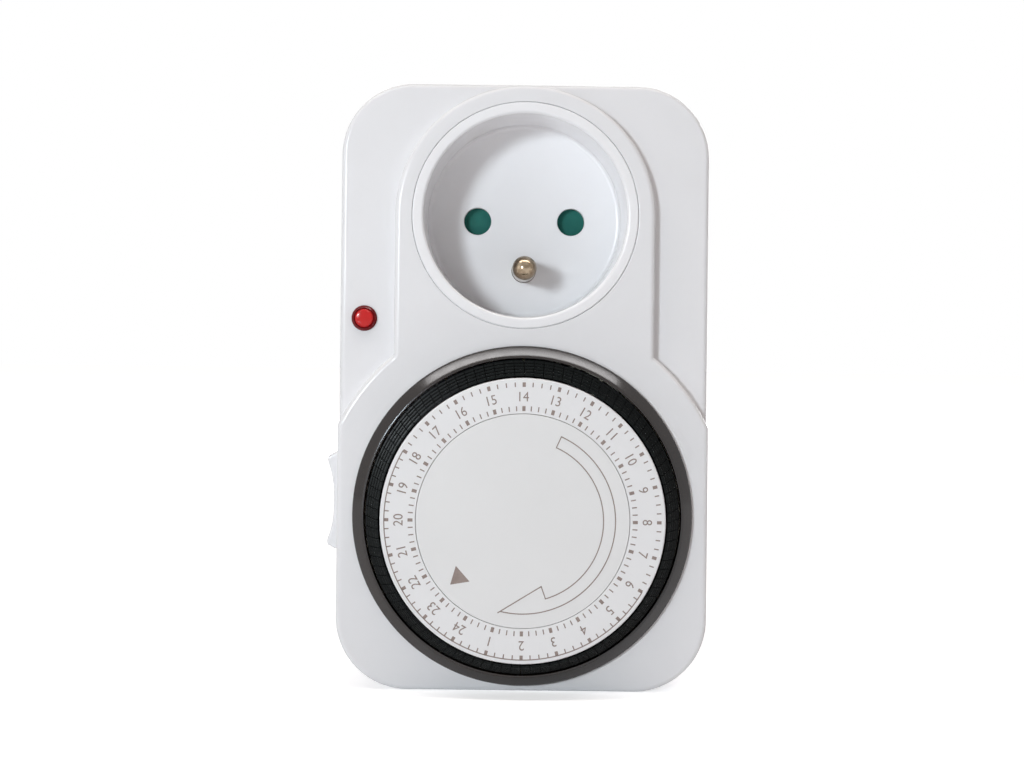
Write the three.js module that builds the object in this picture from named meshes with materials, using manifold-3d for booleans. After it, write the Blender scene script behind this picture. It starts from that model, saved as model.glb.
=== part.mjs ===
// A plug-in 24-hour timer: a socket in front, a plug behind, and a dial whose ring of push-down
// segments switches the socket through a lever and a microswitch.
import * as THREE from "three";
import { mergeVertices } from "three/addons/utils/BufferGeometryUtils.js";
import Module from "manifold-3d";

const wasm = await Module();
wasm.setup();

// Sizes are in millimetres. The plug and socket share the axis x = 0, z = 0. The plug's end face is at
// y = 0, the wall is towards +Y and the front faces -Y.
const gap = 0.3; // clearance between neighbouring pieces
const wall = 2; // thickness of both housing shells
const edgeRound = 1; // rounding of the outer edges
const cornerRadius = 14;
const lap = 0.5; // how far the shapes of one solid run into each other
const past = 1; // how far a cutter runs past what it cuts

const plugRadius = 18.5; // round plug boss
const plugDepth = 17;
const plugEndThickness = 4;
const plugWall = 2;
const pinSpacing = 19;
const plugPinRadius = 2.4;
const plugPinLength = 19;
const plugPinHeadRadius = 3.6;
const plugPinHeadThickness = 2;

const rearShellDepth = 10;
const housingDepth = 31; // from the rear face to the upper front face
const plateauRise = 3; // the keyhole-shaped plateau over the upper front face
const plateauRadius = 25.2; // its round end about the socket
const plateauTopMargin = 0.5; // from its round end to the top of the body
const flareMargin = 6.9; // from the dial's rim to the arc where the plateau widens

const recessRadius = 19.75; // socket recess
const recessDepth = 17;
const insertWall = 1.95;
const floorThickness = 2.2;
const pinHoleRadius = 2.9;
const earthDrop = 10; // earth pin's axis below the socket axis
const earthPinRadius = 2.4;
const earthPinLength = 14;
const earthSleeveRadius = 3; // bore that takes the wall socket's earth pin
const earthSleeveWall = 0.8;
const earthCollarRadius = 3.4;
const earthCollarThickness = 1.5;
const earthTailRadius = 2;
const earthTailLength = 6.8; // from the floor's back
const rimChamfer = 0.4; // of the recess

const collarWall = 1.5; // collar of the front shell round the insert
const collarLength = 7.5;
const shoulderThickness = 1.7;

const shutterThickness = 1.5;
const shutterTravel = 6.2;
const windowRadius = 3.1; // windows of the shutter
const shutterMargin = 1; // plate left round its windows
const shutterNotch = 1.4; // from the earth pin's collar to the shutter's notch
const lugHalfWidth = 2; // lug that the spring pushes on
const lugThickness = 1.4;
const railWidth = 1.5;
const railLip = 0.7; // how far a rail reaches over the shutter
const railLipThickness = 0.8;
const springRadius = 1.4;
const springWire = 0.5;
const springLength = 13.3;
const springTurns = 7;
const springSeatHalfWidth = 2.5;
const springSeatThickness = 2;

const clipLeafThickness = 0.8; // contact clips behind the pin holes
const clipHalfHeight = 3.5;
const clipGrip = 0.2; // how much less than a plug's pin the leaves leave free
const clipSetback = 1.6; // behind the shutter
const clipTailRadius = 1.5;
const clipBaseSetback = 3; // behind the rear shell's face

const dialDrop = 58; // dial axis below the socket axis
const dialSideMargin = 3; // from the dial's rim to the body's sides
const dialBottomMargin = 1.1; // from the dial's rim to the body's bottom
const dialRise = 9.5; // face of the dial over the plateau
const pointerRadius = 19.9; // fixed centre disc
const numberBand = 6.6; // width of the ring with the hours
const faceThickness = 1.5;
const faceEdge = 0.25;
const gripBand = 2.5; // width of the smoked ring
const gripRise = 2.6;
const gripEdge = 0.7; // height of its outer edge
const gripLand = 0.35; // width of its front face
const sleeveWall = 0.8;
const sleeveClearance = 1; // sleeve's rear end before the rear end of the segments

const hours = 24;
const trippersPerHour = 4;
const tripperBand = 3; // radial width of the segments
const tripperWidth = 1.45;
const headInset = 0.1; // keeps the segments inside the block's faceted sides
const tripperRises = [3, 6, 9]; // steps of a segment over the plateau, from outside in
const tripperBlockLength = 7.8; // the block behind the four heads of an hour
const tripperSetback = 6; // rear end of a segment behind the plateau's face
const tripperTravel = 2.5;
const ribThickness = 0.5;
const ribLength = 3.6;
const hoursPerRib = 2;

const drumWall = 2;
const hubRadius = 7;
const hubSetback = 3; // hub's rear end behind the plateau's face
const spindleRadius = 4;
const flangeThickness = 1.5;
const grooveDepth = 0.8;
const spindleClipThickness = 0.8;
const spindleClipReach = 2; // past the spindle
const spindleClipHalfAngle = 150;
const groovePlay = 0.1; // before and behind the clip

const gearModule = 0.6;
const drumTeeth = 72;
const pinionTeeth = 10;
const wheelTeeth = 32;
const gearWidth = 2;
const wheelWidth = 1.6;
const wheelClearance = 0.6; // between the wheel and the mechanism plate
const pinionOverhang = 0.2; // of the pinions past the wheels that they drive
const addendum = 0.95; // share of the module
const dedendum = 1.25;
const pressureAngle = 20;
const backlash = 0.08; // taken off each flank
const reductionBearing = 135; // bearings are degrees clockwise from the top, seen from the front
const arborRadius = 1;
const arborHeadRadius = 1.8;
const arborHeadThickness = 0.5;
const shaftRadius = 0.8;

const plateThickness = 1.5;
const plateOffset = 3; // plate's front behind the drum's gear
const plateCorners = [
  [-29, 25],
  [-29, -4],
  [-4, -29],
  [-4, -31],
  [20, -31],
  [29.5, -19],
  [31, 25],
]; // from the dial axis
const postOffsets = [
  [-19.5, 21],
  [27, 21],
  [1, -28],
]; // posts of the mechanism plate, from the dial axis
const postRadius = 2.5;
const pegRadius = 1.2; // end of a post that goes through the plate
const pegLength = 0.8; // past the plate's front
const motorRadius = 18;
const motorOffset = [2, -2]; // motor's centre from the dial axis
const motorEdge = 0.6;
const motorRearClearance = 2.3;

const tripBearing = 228; // the lever's nose, under the pointer's mark
const pivotSetback = 2.2; // lever's pivot behind a segment that is pressed down
const leverArm = 11; // pivot to nose
const leverTip = 2; // lever's beam past its nose
const buttonArm = 5.5; // pivot to the microswitch's button
const leverWidth = 3.2;
const leverThickness = 1.5;
const leverHubRadius = 1.6;
const leverPinRadius = 0.75;
const noseInset = 0.4; // from the sides of the lever to the sides of its nose
const microswitchSize = [18, 10, 5.8]; // along the lever, front to back, across
const microswitchSetback = 3.9; // its front behind the lever's pivot
const microswitchOverhang = 3; // its end past the lever's pivot
const buttonRadius = 0.8;
const buttonLength = 2; // inside the microswitch
const earThickness = 1.5;
const earHalfLength = 1.8;
const earRise = 1.6; // in front of the lever's pivot
const earClearance = 1.7; // from the lever to the ears

const lensRadius = 2.5;
const lensInset = 4.75; // lens axis from the body's side
const lensDrop = 20.2;
const lensRim = 0.25; // height of its edge
const lensDome = 0.75;
const lensClearance = 0.15; // between its lip and the housing
const neonRadius = 1.9;
const neonLength = 9;
const neonSetback = 1; // behind the front wall
const lampTubeWall = 0.8;

const sliderLength = 19;
const sliderWidth = 8;
const sliderProud = 2.8; // of its two raised ends
const sliderDip = 1.5; // of its hollow middle
const sliderDrop = 56.5;
const sliderSetback = 10; // its middle behind the upper front face
const sliderTravel = 4;
const sliderTrack = 0.8; // depth of the track that it runs in
const sliderRound = 1.8; // of its raised ends
const sliderStemHalf = 4;
const sliderFootThickness = 1.2;
const sliderFootReach = 1.5; // past the stem at each end

const screwRadius = 1.4;
const screwHeadRadius = 2.6;
const screwHeadThickness = 2;
const screwHeadEdge = 0.4;
const screwLength = 16;
const screwPostRadius = 3;
const screwBossWall = 1.1;
const screwPoint = 1;
const screwSlotHalfWidth = 0.35;
const screwSlotHalfLength = 1.7;
const screwSlotDepth = 1;
const screwInset = 7.4; // screw axes from the body's sides, top and bottom

const stripThickness = 0.8;
const stripWidth = 3;
const stripClearance = 3.5; // from the rear shell's floor to the front of the strip behind
const stripStep = 2.1; // between the levels of the two strips
const feedRunX = -29; // middles of the two vertical runs
const switchedRunX = -24.5;
const terminalSetback = 4; // terminals' front behind the microswitch's front
const feedTerminal = [-0.2, 2.6]; // across the microswitch, from its middle
const switchedTerminal = [-2.9, -1.1];
const stripEndHeight = 3.2; // of the level run to a terminal
const stripEndPast = 0.8; // of the level run past its terminal

// Planes across the depth, from the wall forwards.
const rearFaceY = -plugDepth;
const rearFloorY = rearFaceY - wall;
const splitY = rearFaceY - rearShellDepth;
const baseFrontY = rearFaceY - housingDepth;
const plateauFrontY = baseFrontY - plateauRise;
const floorFrontY = plateauFrontY + recessDepth;
const floorBackY = floorFrontY + floorThickness;
const faceFrontY = plateauFrontY - dialRise;
const faceBackY = faceFrontY + faceThickness;
const tripperRearY = plateauFrontY + tripperSetback;
const tripperBlockY = tripperRearY - tripperBlockLength;
const hubBackY = plateauFrontY + hubSetback;
const pressedRearY = tripperRearY + tripperTravel;
const pivotY = pressedRearY + pivotSetback;
const drumGearFrontY = pressedRearY + 1;
const drumGearBackY = drumGearFrontY + gearWidth;
const plateFrontY = drumGearBackY + plateOffset;
const plateBackY = plateFrontY + plateThickness;
const wheelBackY = plateFrontY - wheelClearance;
const wheelFrontY = wheelBackY - wheelWidth;
const motorFrontY = plateBackY + gap;
const screwHeadBackY = rearFaceY - gap;
const screwHeadFrontY = screwHeadBackY - screwHeadThickness;
const screwTipY = screwHeadFrontY - screwLength;
const neonFrontY = baseFrontY + wall + neonSetback;
const shutterFrontY = floorBackY + gap;
const railBackY = shutterFrontY + shutterThickness + gap;
const springY = shutterFrontY + springRadius + springWire / 2;
const earthTailEndY = floorBackY + earthTailLength;
const clipFrontY = shutterFrontY + shutterThickness + clipSetback;
const clipBaseY = rearFaceY + clipBaseSetback;
const plugPinHeadBackY = -plugEndThickness - gap;
const plugPinHeadFrontY = plugPinHeadBackY - plugPinHeadThickness;
const feedStripY = rearFloorY - stripClearance;
const switchedStripY = feedStripY - stripStep;
const microswitchFrontY = pivotY + microswitchSetback;
const buttonFrontY = pivotY + leverThickness / 2 + gap;
const buttonBackY = microswitchFrontY + buttonLength;
const buttonTravel = (tripperTravel * buttonArm) / leverArm;

// Radii of the dial, from inside out.
const numberInner = pointerRadius + gap;
const numberOuter = numberInner + numberBand;
const tripperInner = numberOuter + gap;
const tripperOuter = tripperInner + tripperBand;
const gripInner = tripperOuter + gap;
const gripOuter = gripInner + gripBand;
const drumRadius = tripperInner - gap;
const tripRadius = (tripperInner + tripperOuter) / 2 - gap; // circle of the lever's nose

// The body's outline follows the dial and the socket.
const dialZ = -dialDrop;
const bodySide = gripOuter + dialSideMargin;
const bodyTop = plateauRadius + plateauTopMargin;
const bodyBottom = dialZ - gripOuter - dialBottomMargin;
const flareRadius = gripOuter + flareMargin;
const insertRadius = recessRadius + insertWall;
const collarRadius = insertRadius + gap + collarWall;
const collarEndY = plateauFrontY + collarLength;
const screwPlaces = [-1, 1].flatMap((side) => [
  [side * (bodySide - screwInset), bodyTop - screwInset],
  [side * (bodySide - screwInset), bodyBottom + screwInset],
]);
const postPlaces = postOffsets.map(([x, z]) => [x, dialZ + z]);
const lensX = lensInset - bodySide;
const lensZ = -lensDrop;
const sliderY = baseFrontY + sliderSetback;
const sliderZ = -sliderDrop;

const shutterHalfWidth = pinSpacing / 2 + windowRadius + shutterMargin;
const shutterBottom = -shutterTravel - windowRadius - shutterMargin;
const shutterTop = pinHoleRadius + shutterMargin;
const springBottomZ = shutterTop + gap;
const springTopZ = springBottomZ + springLength;

// The trip works lie in a frame turned to the trip bearing: x runs along the lever, from its pivot to
// its nose at x = 0.
const pivotX = -leverArm;
const buttonX = pivotX + buttonArm;
const earInner = leverWidth / 2 + earClearance;
const microswitchX = pivotX - microswitchOverhang;
const terminalX = microswitchX + microswitchSize[0] + gap;

const reductionPlace = fromDial(reductionBearing, (gearModule * (drumTeeth + pinionTeeth)) / 2);
const motorPinionBearing = reductionBearing + 180; // from the arbor back towards the dial axis
const motorPinionDistance = (gearModule * (wheelTeeth + pinionTeeth)) / 2;
const motorPinionPlace = [
  reductionPlace[0] + motorPinionDistance * Math.sin(radians(motorPinionBearing)),
  reductionPlace[1] + motorPinionDistance * Math.cos(radians(motorPinionBearing)),
];
const halfPinionPitch = 180 / pinionTeeth;

const white = plastic(0xeaebee, 0.35);
const dialWhite = plastic(0xe4e5e8, 0.45);
const black = plastic(0x1c1b1c, 0.4);
const smoked = plastic(0x5b524e, 0.15);
const teal = plastic(0x10322f, 0.5);
const red = plastic(0xa5303a, 0.2);
const nylon = plastic(0xd9d4c4, 0.5);
const phenolic = plastic(0x2b2b2d, 0.6);
const glass = plastic(0xe9d8cf, 0.05);
const nickel = metal(0xc9c2b2, 0.2);
const brass = metal(0xb8944a, 0.35);
const steel = metal(0xa9abad, 0.4);

function plastic(color, roughness) {
  return new THREE.MeshStandardMaterial({ color, roughness, metalness: 0 });
}

function metal(color, roughness) {
  return new THREE.MeshStandardMaterial({ color, roughness, metalness: 1 });
}

function radians(degrees) {
  return THREE.MathUtils.degToRad(degrees);
}

// A point at a bearing and radius from the dial axis, as [x, z].
function fromDial(bearing, radius) {
  const angle = radians(bearing);
  return [radius * Math.sin(angle), dialZ + radius * Math.cos(angle)];
}

// Closed geometry as a solid that can be joined and cut.
function solidOf(geometry) {
  const bare = geometry.index ? geometry.toNonIndexed() : geometry.clone();
  bare.deleteAttribute("normal");
  bare.deleteAttribute("uv");
  const merged = mergeVertices(bare, 1e-4);
  const triVerts = new Uint32Array(merged.index.array);
  const vertProperties = merged.attributes.position.array;
  return new wasm.Manifold(new wasm.Mesh({ numProp: 3, vertProperties, triVerts }));
}

function meshOf(name, solid, material) {
  const { numProp, vertProperties, triVerts } = solid.getMesh();
  const position = new THREE.BufferAttribute(new Float32Array(vertProperties), numProp);
  const geometry = new THREE.BufferGeometry().setAttribute("position", position);
  geometry.setIndex(new THREE.BufferAttribute(new Uint32Array(triVerts), 1));
  geometry.computeVertexNormals();
  const mesh = new THREE.Mesh(geometry, material);
  mesh.name = name;
  return mesh;
}

function join(...solids) {
  return solids.flat().reduce((whole, solid) => whole.add(solid));
}

function cut(solid, ...cutters) {
  return cutters.flat().reduce((rest, cutter) => rest.subtract(cutter), solid);
}

// An outline drawn in x and z, extruded from yFront to yBack. rounded names the end whose edge is rounded.
function prism(shape, yFront, yBack, { rounded = "none", round = edgeRound, segments = 5 } = {}) {
  const bevel = rounded === "none" ? 0 : round;
  const front = rounded === "back" ? yFront - 2 * bevel : yFront;
  const back = rounded === "front" ? yBack + 2 * bevel : yBack;
  const geometry = new THREE.ExtrudeGeometry(shape, {
    depth: back - front - 2 * bevel,
    bevelEnabled: bevel > 0,
    bevelThickness: bevel,
    bevelSize: bevel,
    bevelOffset: -bevel,
    bevelSegments: 2,
    curveSegments: segments,
  });
  geometry.rotateX(Math.PI / 2).translate(0, back - bevel, 0);
  const whole = solidOf(geometry);
  if (rounded === "front") return whole.trimByPlane([0, -1, 0], -yBack);
  if (rounded === "back") return whole.trimByPlane([0, 1, 0], yFront);
  return whole;
}

// A profile of [radius, y] points turned about a line along Y through x, z.
function turned(profile, { x = 0, z = 0, segments = 24 } = {}) {
  const points = profile.map(([radius, y]) => new THREE.Vector2(radius, y));
  if (THREE.ShapeUtils.area(points) < 0) points.reverse();
  const onAxis = points[0].x === 0 && points.at(-1).x === 0;
  if (!onAxis) points.push(points[0].clone());
  return solidOf(new THREE.LatheGeometry(points, segments).translate(x, 0, z));
}

function cylinder(radius, yFront, yBack, { x = 0, z = 0, segments = 12 } = {}) {
  return turned([[0, yFront], [radius, yFront], [radius, yBack], [0, yBack]], { x, z, segments });
}

function tube(inner, outer, yFront, yBack, { x = 0, z = 0, segments = 48 } = {}) {
  return turned([[inner, yFront], [outer, yFront], [outer, yBack], [inner, yBack]], { x, z, segments });
}

// A box between two corners, turned about the dial axis to a bearing when one is given.
function block(low, high, bearing = null) {
  const size = high.map((value, axis) => value - low[axis]);
  const middle = high.map((value, axis) => (value + low[axis]) / 2);
  const geometry = new THREE.BoxGeometry(...size).translate(...middle);
  if (bearing !== null) geometry.rotateY(radians(bearing)).translate(0, 0, dialZ);
  return solidOf(geometry);
}

// A short round bar along local z at x, y, between two values of z.
function crossBar(radius, x, y, zLow, zHigh, segments = 12) {
  const bar = new THREE.CylinderGeometry(radius, radius, zHigh - zLow, segments);
  return bar.rotateX(Math.PI / 2).translate(x, y, (zLow + zHigh) / 2);
}

// A ring sector centred on +z.
function sector(inner, outer, halfAngle) {
  const middle = Math.PI / 2;
  const shape = new THREE.Shape();
  shape.absarc(0, 0, outer, middle - halfAngle, middle + halfAngle, false);
  shape.absarc(0, 0, inner, middle + halfAngle, middle - halfAngle, true);
  shape.closePath();
  return shape;
}

function bodyOutline(inset = 0) {
  const radius = cornerRadius - inset;
  const side = bodySide - inset - radius;
  const top = bodyTop - inset - radius;
  const bottom = bodyBottom + inset + radius;
  const quarter = Math.PI / 2;
  const shape = new THREE.Shape();
  shape.absarc(side, top, radius, 0, quarter);
  shape.absarc(-side, top, radius, quarter, 2 * quarter);
  shape.absarc(-side, bottom, radius, 2 * quarter, 3 * quarter);
  shape.absarc(side, bottom, radius, 3 * quarter, 4 * quarter);
  shape.closePath();
  return shape;
}

// The keyhole shape: round about the socket, straight down to a corner, widening along an arc about the
// dial, and as wide as the body below.
function plateauOutline(inset = 0) {
  const neck = plateauRadius - inset;
  const flare = flareRadius - inset;
  const side = bodySide - inset;
  const radius = cornerRadius - inset;
  const bottom = bodyBottom + inset + radius;
  const neckAngle = Math.acos(neck / flare);
  const sideAngle = Math.acos(side / flare);
  const shape = new THREE.Shape();
  shape.absarc(0, 0, neck, 0, Math.PI / 2);
  shape.absarc(0, 0, neck, Math.PI / 2, Math.PI);
  shape.absarc(0, dialZ, flare, Math.PI - neckAngle, Math.PI - sideAngle);
  shape.absarc(radius - side, bottom, radius, Math.PI, 1.5 * Math.PI);
  shape.absarc(side - radius, bottom, radius, 1.5 * Math.PI, 2 * Math.PI);
  shape.absarc(0, dialZ, flare, sideAngle, neckAngle);
  shape.closePath();
  return shape;
}

// Everything that the slide switch sticks through: its track in the side wall and the slot of its stem.
function sliderOpening() {
  const trackHalf = sliderLength / 2 + sliderTravel / 2 + gap;
  const middleZ = sliderZ - sliderTravel / 2;
  const trackY = sliderWidth / 2 + gap;
  const slotHalf = sliderStemHalf + sliderTravel / 2 + gap;
  const slotY = sliderWidth / 4 + gap;
  return [
    block(
      [-bodySide - past, sliderY - trackY, middleZ - trackHalf],
      [sliderTrack - bodySide, sliderY + trackY, middleZ + trackHalf],
    ),
    block(
      [-bodySide - past, sliderY - slotY, middleZ - slotHalf],
      [wall + past - bodySide, sliderY + slotY, middleZ + slotHalf],
    ),
  ];
}

function frontHousing() {
  const shell = join(
    prism(bodyOutline(), baseFrontY, splitY, { rounded: "front" }),
    prism(plateauOutline(), plateauFrontY, baseFrontY + wall, { rounded: "front" }),
  );
  const cavity = join(
    prism(bodyOutline(wall), baseFrontY + wall, splitY + past),
    prism(plateauOutline(wall), plateauFrontY + wall, baseFrontY + wall + past),
  );
  const postTopY = baseFrontY + wall - lap;
  const posts = screwPlaces.map(([x, z]) => cylinder(screwPostRadius, postTopY, splitY, { x, z }));
  const pilots = screwPlaces.map(([x, z]) =>
    cylinder(screwRadius + gap, screwTipY - past, splitY + past, { x, z }),
  );
  const collar = cylinder(collarRadius, plateauFrontY + wall / 2, collarEndY, { segments: 48 });
  const insertHole = cylinder(insertRadius + gap, plateauFrontY - past, collarEndY + past, { segments: 48 });
  const dialHole = cylinder(gripInner + sleeveWall + gap, plateauFrontY - past, baseFrontY + wall + past, {
    z: dialZ,
    segments: 48,
  });
  const lamp = { x: lensX, z: lensZ };
  const lampTubeEndY = neonFrontY + neonLength - neonRadius;
  const lampTube = cylinder(neonRadius + gap + lampTubeWall, baseFrontY + wall / 2, lampTubeEndY, lamp);
  const lampHole = cylinder(neonRadius + gap, baseFrontY - past, lampTubeEndY + past, lamp);
  const body = join(cut(shell, cavity), posts, collar, lampTube);
  const inside = prism(bodyOutline(), plateauFrontY - past, splitY);
  return cut(body.intersect(inside), pilots, insertHole, dialHole, lampHole, sliderOpening());
}

function rearHousing() {
  const shell = prism(bodyOutline(), splitY + gap, rearFaceY, { rounded: "back" });
  const cavity = prism(bodyOutline(wall), splitY - past, rearFloorY);
  const boss = turned(
    [
      [0, rearFloorY],
      [plugRadius, rearFloorY],
      [plugRadius, -edgeRound],
      [plugRadius - edgeRound, 0],
      [0, 0],
    ],
    { segments: 40 },
  );
  const bossCavity = cylinder(plugRadius - plugWall, splitY, -plugEndThickness, { segments: 32 });
  const posts = postPlaces.flatMap(([x, z]) => [
    cylinder(postRadius, plateBackY + gap, rearFloorY + lap, { x, z }),
    cylinder(pegRadius, plateFrontY - pegLength, rearFloorY, { x, z }),
  ]);
  const screwBosses = screwPlaces.map(([x, z]) =>
    cylinder(screwHeadRadius + gap + screwBossWall, splitY + gap, rearFloorY + lap, { x, z }),
  );
  const screwHoles = screwPlaces.flatMap(([x, z]) => [
    cylinder(screwRadius + gap, splitY - past, rearFaceY + past, { x, z }),
    cylinder(screwHeadRadius + gap, screwHeadFrontY - gap, rearFaceY + past, { x, z }),
  ]);
  const holeFrontY = -plugEndThickness - past;
  const pinHoles = [-1, 1].map((side) =>
    cylinder(plugPinRadius + gap, holeFrontY, past, { x: (side * pinSpacing) / 2 }),
  );
  const earthHole = cylinder(earthSleeveRadius + gap, holeFrontY, past, { z: -earthDrop });
  const ears = [-1, 1].map((side) => {
    const near = tripRadius + side * earInner;
    const far = near + side * earThickness;
    return block(
      [pivotX - earHalfLength, pivotY - earRise, Math.min(near, far)],
      [pivotX + earHalfLength, rearFloorY + lap, Math.max(near, far)],
      tripBearing,
    );
  });
  const earReach = earInner + earThickness + past;
  const earHole = crossBar(
    leverPinRadius + gap,
    pivotX,
    pivotY,
    tripRadius - earReach,
    tripRadius + earReach,
  );
  earHole.rotateY(radians(tripBearing)).translate(0, 0, dialZ);
  const [switchLength, switchDepth, switchWidth] = microswitchSize;
  const cradle = block(
    [microswitchX, microswitchFrontY + switchDepth + gap, tripRadius - switchWidth / 2],
    [microswitchX + switchLength, rearFloorY + lap, tripRadius + switchWidth / 2],
    tripBearing,
  );
  const body = join(cut(shell, cavity), boss);
  const fitted = join(cut(body, bossCavity), posts, screwBosses, ears, cradle);
  const inside = prism(bodyOutline(wall / 2), pivotY - leverArm, past);
  return cut(fitted.intersect(join(inside, shell)), screwHoles, pinHoles, earthHole, solidOf(earHole));
}

function socketInsert() {
  const shoulder = [
    [insertRadius, collarEndY + gap],
    [collarRadius, collarEndY + gap],
    [collarRadius, collarEndY + gap + shoulderThickness],
    [insertRadius, collarEndY + gap + shoulderThickness],
  ];
  const cup = turned(
    [
      [0, floorFrontY],
      [recessRadius, floorFrontY],
      [recessRadius, plateauFrontY + rimChamfer],
      [recessRadius + rimChamfer, plateauFrontY],
      [insertRadius, plateauFrontY],
      ...shoulder,
      [insertRadius, floorBackY],
      [0, floorBackY],
    ],
    { segments: 48 },
  );
  const lipBackY = railBackY + railLipThickness;
  const rails = [-1, 1].flatMap((side) => {
    const inner = side * (shutterHalfWidth + gap);
    const outer = side * (shutterHalfWidth + gap + railWidth);
    const lip = side * (shutterHalfWidth - railLip);
    const box = (a, b, front, back) =>
      block([Math.min(a, b), front, shutterBottom], [Math.max(a, b), back, -shutterBottom]);
    return [box(inner, outer, floorBackY - lap, lipBackY), box(lip, outer, railBackY, lipBackY)];
  });
  const seatZ = springTopZ + gap;
  const springSeat = block(
    [-springSeatHalfWidth, floorBackY - lap, seatZ],
    [springSeatHalfWidth, springY + springRadius + springWire, seatZ + springSeatThickness],
  );
  const pinHoles = [-1, 1].map((side) =>
    cylinder(pinHoleRadius, floorFrontY - past, floorBackY + past, {
      x: (side * pinSpacing) / 2,
      segments: 16,
    }),
  );
  const earthHole = cylinder(earthPinRadius + gap, floorFrontY - past, floorBackY + past, { z: -earthDrop });
  return cut(join(cup, rails, springSeat), pinHoles, earthHole);
}

// The windows stand below the pin holes at rest, and the shutter rises to uncover the holes.
function safetyShutter() {
  const backY = shutterFrontY + shutterThickness;
  const notchSize = earthCollarRadius + shutterNotch;
  const plate = block(
    [-shutterHalfWidth, shutterFrontY, shutterBottom],
    [shutterHalfWidth, backY, shutterTop],
  );
  const notch = block(
    [-notchSize, shutterFrontY - past, shutterBottom - past],
    [notchSize, backY + past, notchSize - earthDrop],
  );
  const windows = [-1, 1].map((side) =>
    cylinder(windowRadius, shutterFrontY - past, backY + past, {
      x: (side * pinSpacing) / 2,
      z: -shutterTravel,
    }),
  );
  const springLug = block(
    [-lugHalfWidth, shutterFrontY, shutterTop - lugThickness],
    [lugHalfWidth, springY + springRadius, shutterTop],
  );
  return join(cut(plate, notch, windows), springLug);
}

// A helix of round wire along z, closed by flat ends.
function shutterSpring() {
  const steps = springTurns * 8;
  const sides = 5;
  const wire = springWire / 2;
  const height = springLength - 2 * wire;
  const positions = [];
  for (let step = 0; step <= steps; step++) {
    const turn = (2 * Math.PI * springTurns * step) / steps;
    const z = springBottomZ + wire + (height * step) / steps;
    for (let side = 0; side < sides; side++) {
      const around = (2 * Math.PI * side) / sides;
      const radius = springRadius + wire * Math.cos(around);
      positions.push(radius * Math.cos(turn), springY + radius * Math.sin(turn), z + wire * Math.sin(around));
    }
  }
  const faces = [];
  for (let step = 0; step < steps; step++) {
    for (let side = 0; side < sides; side++) {
      const a = step * sides + side;
      const b = step * sides + ((side + 1) % sides);
      faces.push(a, a + sides, b, b, a + sides, b + sides);
    }
  }
  const last = steps * sides;
  for (let side = 1; side < sides - 1; side++) {
    faces.push(0, side, side + 1, last, last + side + 1, last + side);
  }
  const geometry = new THREE.BufferGeometry();
  geometry.setAttribute("position", new THREE.Float32BufferAttribute(positions, 3));
  geometry.setIndex(faces);
  return solidOf(geometry);
}

// Rounded tip of a pin, as profile points from the axis out.
function domeProfile(radius, tipY, direction) {
  const steps = 3;
  return Array.from({ length: steps + 1 }, (_, step) => {
    const angle = (Math.PI / 2) * (step / steps);
    const depth = radius * (1 - Math.cos(angle));
    return [step === 0 ? 0 : radius * Math.sin(angle), tipY + direction * depth];
  });
}

function earthPin() {
  const collarFrontY = floorBackY + gap;
  const collarBackY = collarFrontY + earthCollarThickness;
  return turned(
    [
      ...domeProfile(earthPinRadius, floorFrontY - earthPinLength, 1),
      [earthPinRadius, collarFrontY],
      [earthCollarRadius, collarFrontY],
      [earthCollarRadius, collarBackY],
      [earthTailRadius, collarBackY],
      [earthTailRadius, earthTailEndY],
      [0, earthTailEndY],
    ],
    { z: -earthDrop, segments: 20 },
  );
}

// A sleeve for the wall socket's earth pin, closed at the front where the socket's pin is fixed.
function earthStrap() {
  const frontY = earthTailEndY + gap;
  const outer = earthSleeveRadius + earthSleeveWall;
  const endBackY = frontY + earthTailRadius;
  const backY = -plugEndThickness - gap;
  return turned(
    [
      [0, frontY],
      [outer, frontY],
      [outer, backY],
      [earthSleeveRadius, backY],
      [earthSleeveRadius, endBackY],
      [0, endBackY],
    ],
    { z: -earthDrop, segments: 16 },
  );
}

function plugPin(x) {
  return turned(
    [
      ...domeProfile(plugPinRadius, plugPinLength, -1),
      [plugPinRadius, plugPinHeadBackY],
      [plugPinHeadRadius, plugPinHeadBackY],
      [plugPinHeadRadius, plugPinHeadFrontY],
      [0, plugPinHeadFrontY],
    ],
    { x, segments: 16 },
  );
}

// Two leaves that grip a plug's pin, on a base that reaches the given depth.
function contactClip(x, tailY) {
  const inner = plugPinRadius - clipGrip;
  const outer = inner + clipLeafThickness;
  const leaves = [-1, 1].map((side) =>
    block(
      [x + Math.min(side * inner, side * outer), clipFrontY, -clipHalfHeight],
      [x + Math.max(side * inner, side * outer), clipBaseY, clipHalfHeight],
    ),
  );
  const base = block(
    [x - outer, clipBaseY - clipLeafThickness, -clipHalfHeight],
    [x + outer, clipBaseY, clipHalfHeight],
  );
  const tail = cylinder(clipTailRadius, clipBaseY - clipLeafThickness / 2, tailY, { x, segments: 12 });
  return join(leaves, base, tail);
}

// A point of the frame turned to the trip bearing, as [x, z] of the whole.
function fromTrip(x, z) {
  const angle = radians(tripBearing);
  return [x * Math.cos(angle) + z * Math.sin(angle), dialZ - x * Math.sin(angle) + z * Math.cos(angle)];
}

// A strip's lower end: down from zTop at runX, level to the terminal, and forwards to the microswitch.
function stripEnd(runX, zTop, frontY, terminal) {
  const half = stripWidth / 2;
  const backY = frontY + stripThickness;
  const [low, high] = terminal.map((across) => tripRadius + across);
  const [endX, endZ] = fromTrip(terminalX + stripThickness / 2, high);
  return [
    block([runX - half, frontY, endZ], [runX + half, backY, zTop]),
    block([runX - half, frontY, endZ], [endX + stripEndPast, backY, endZ + stripEndHeight]),
    block(
      [terminalX, microswitchFrontY + terminalSetback, low],
      [terminalX + stripThickness, backY, high],
      tripBearing,
    ),
  ];
}

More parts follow.
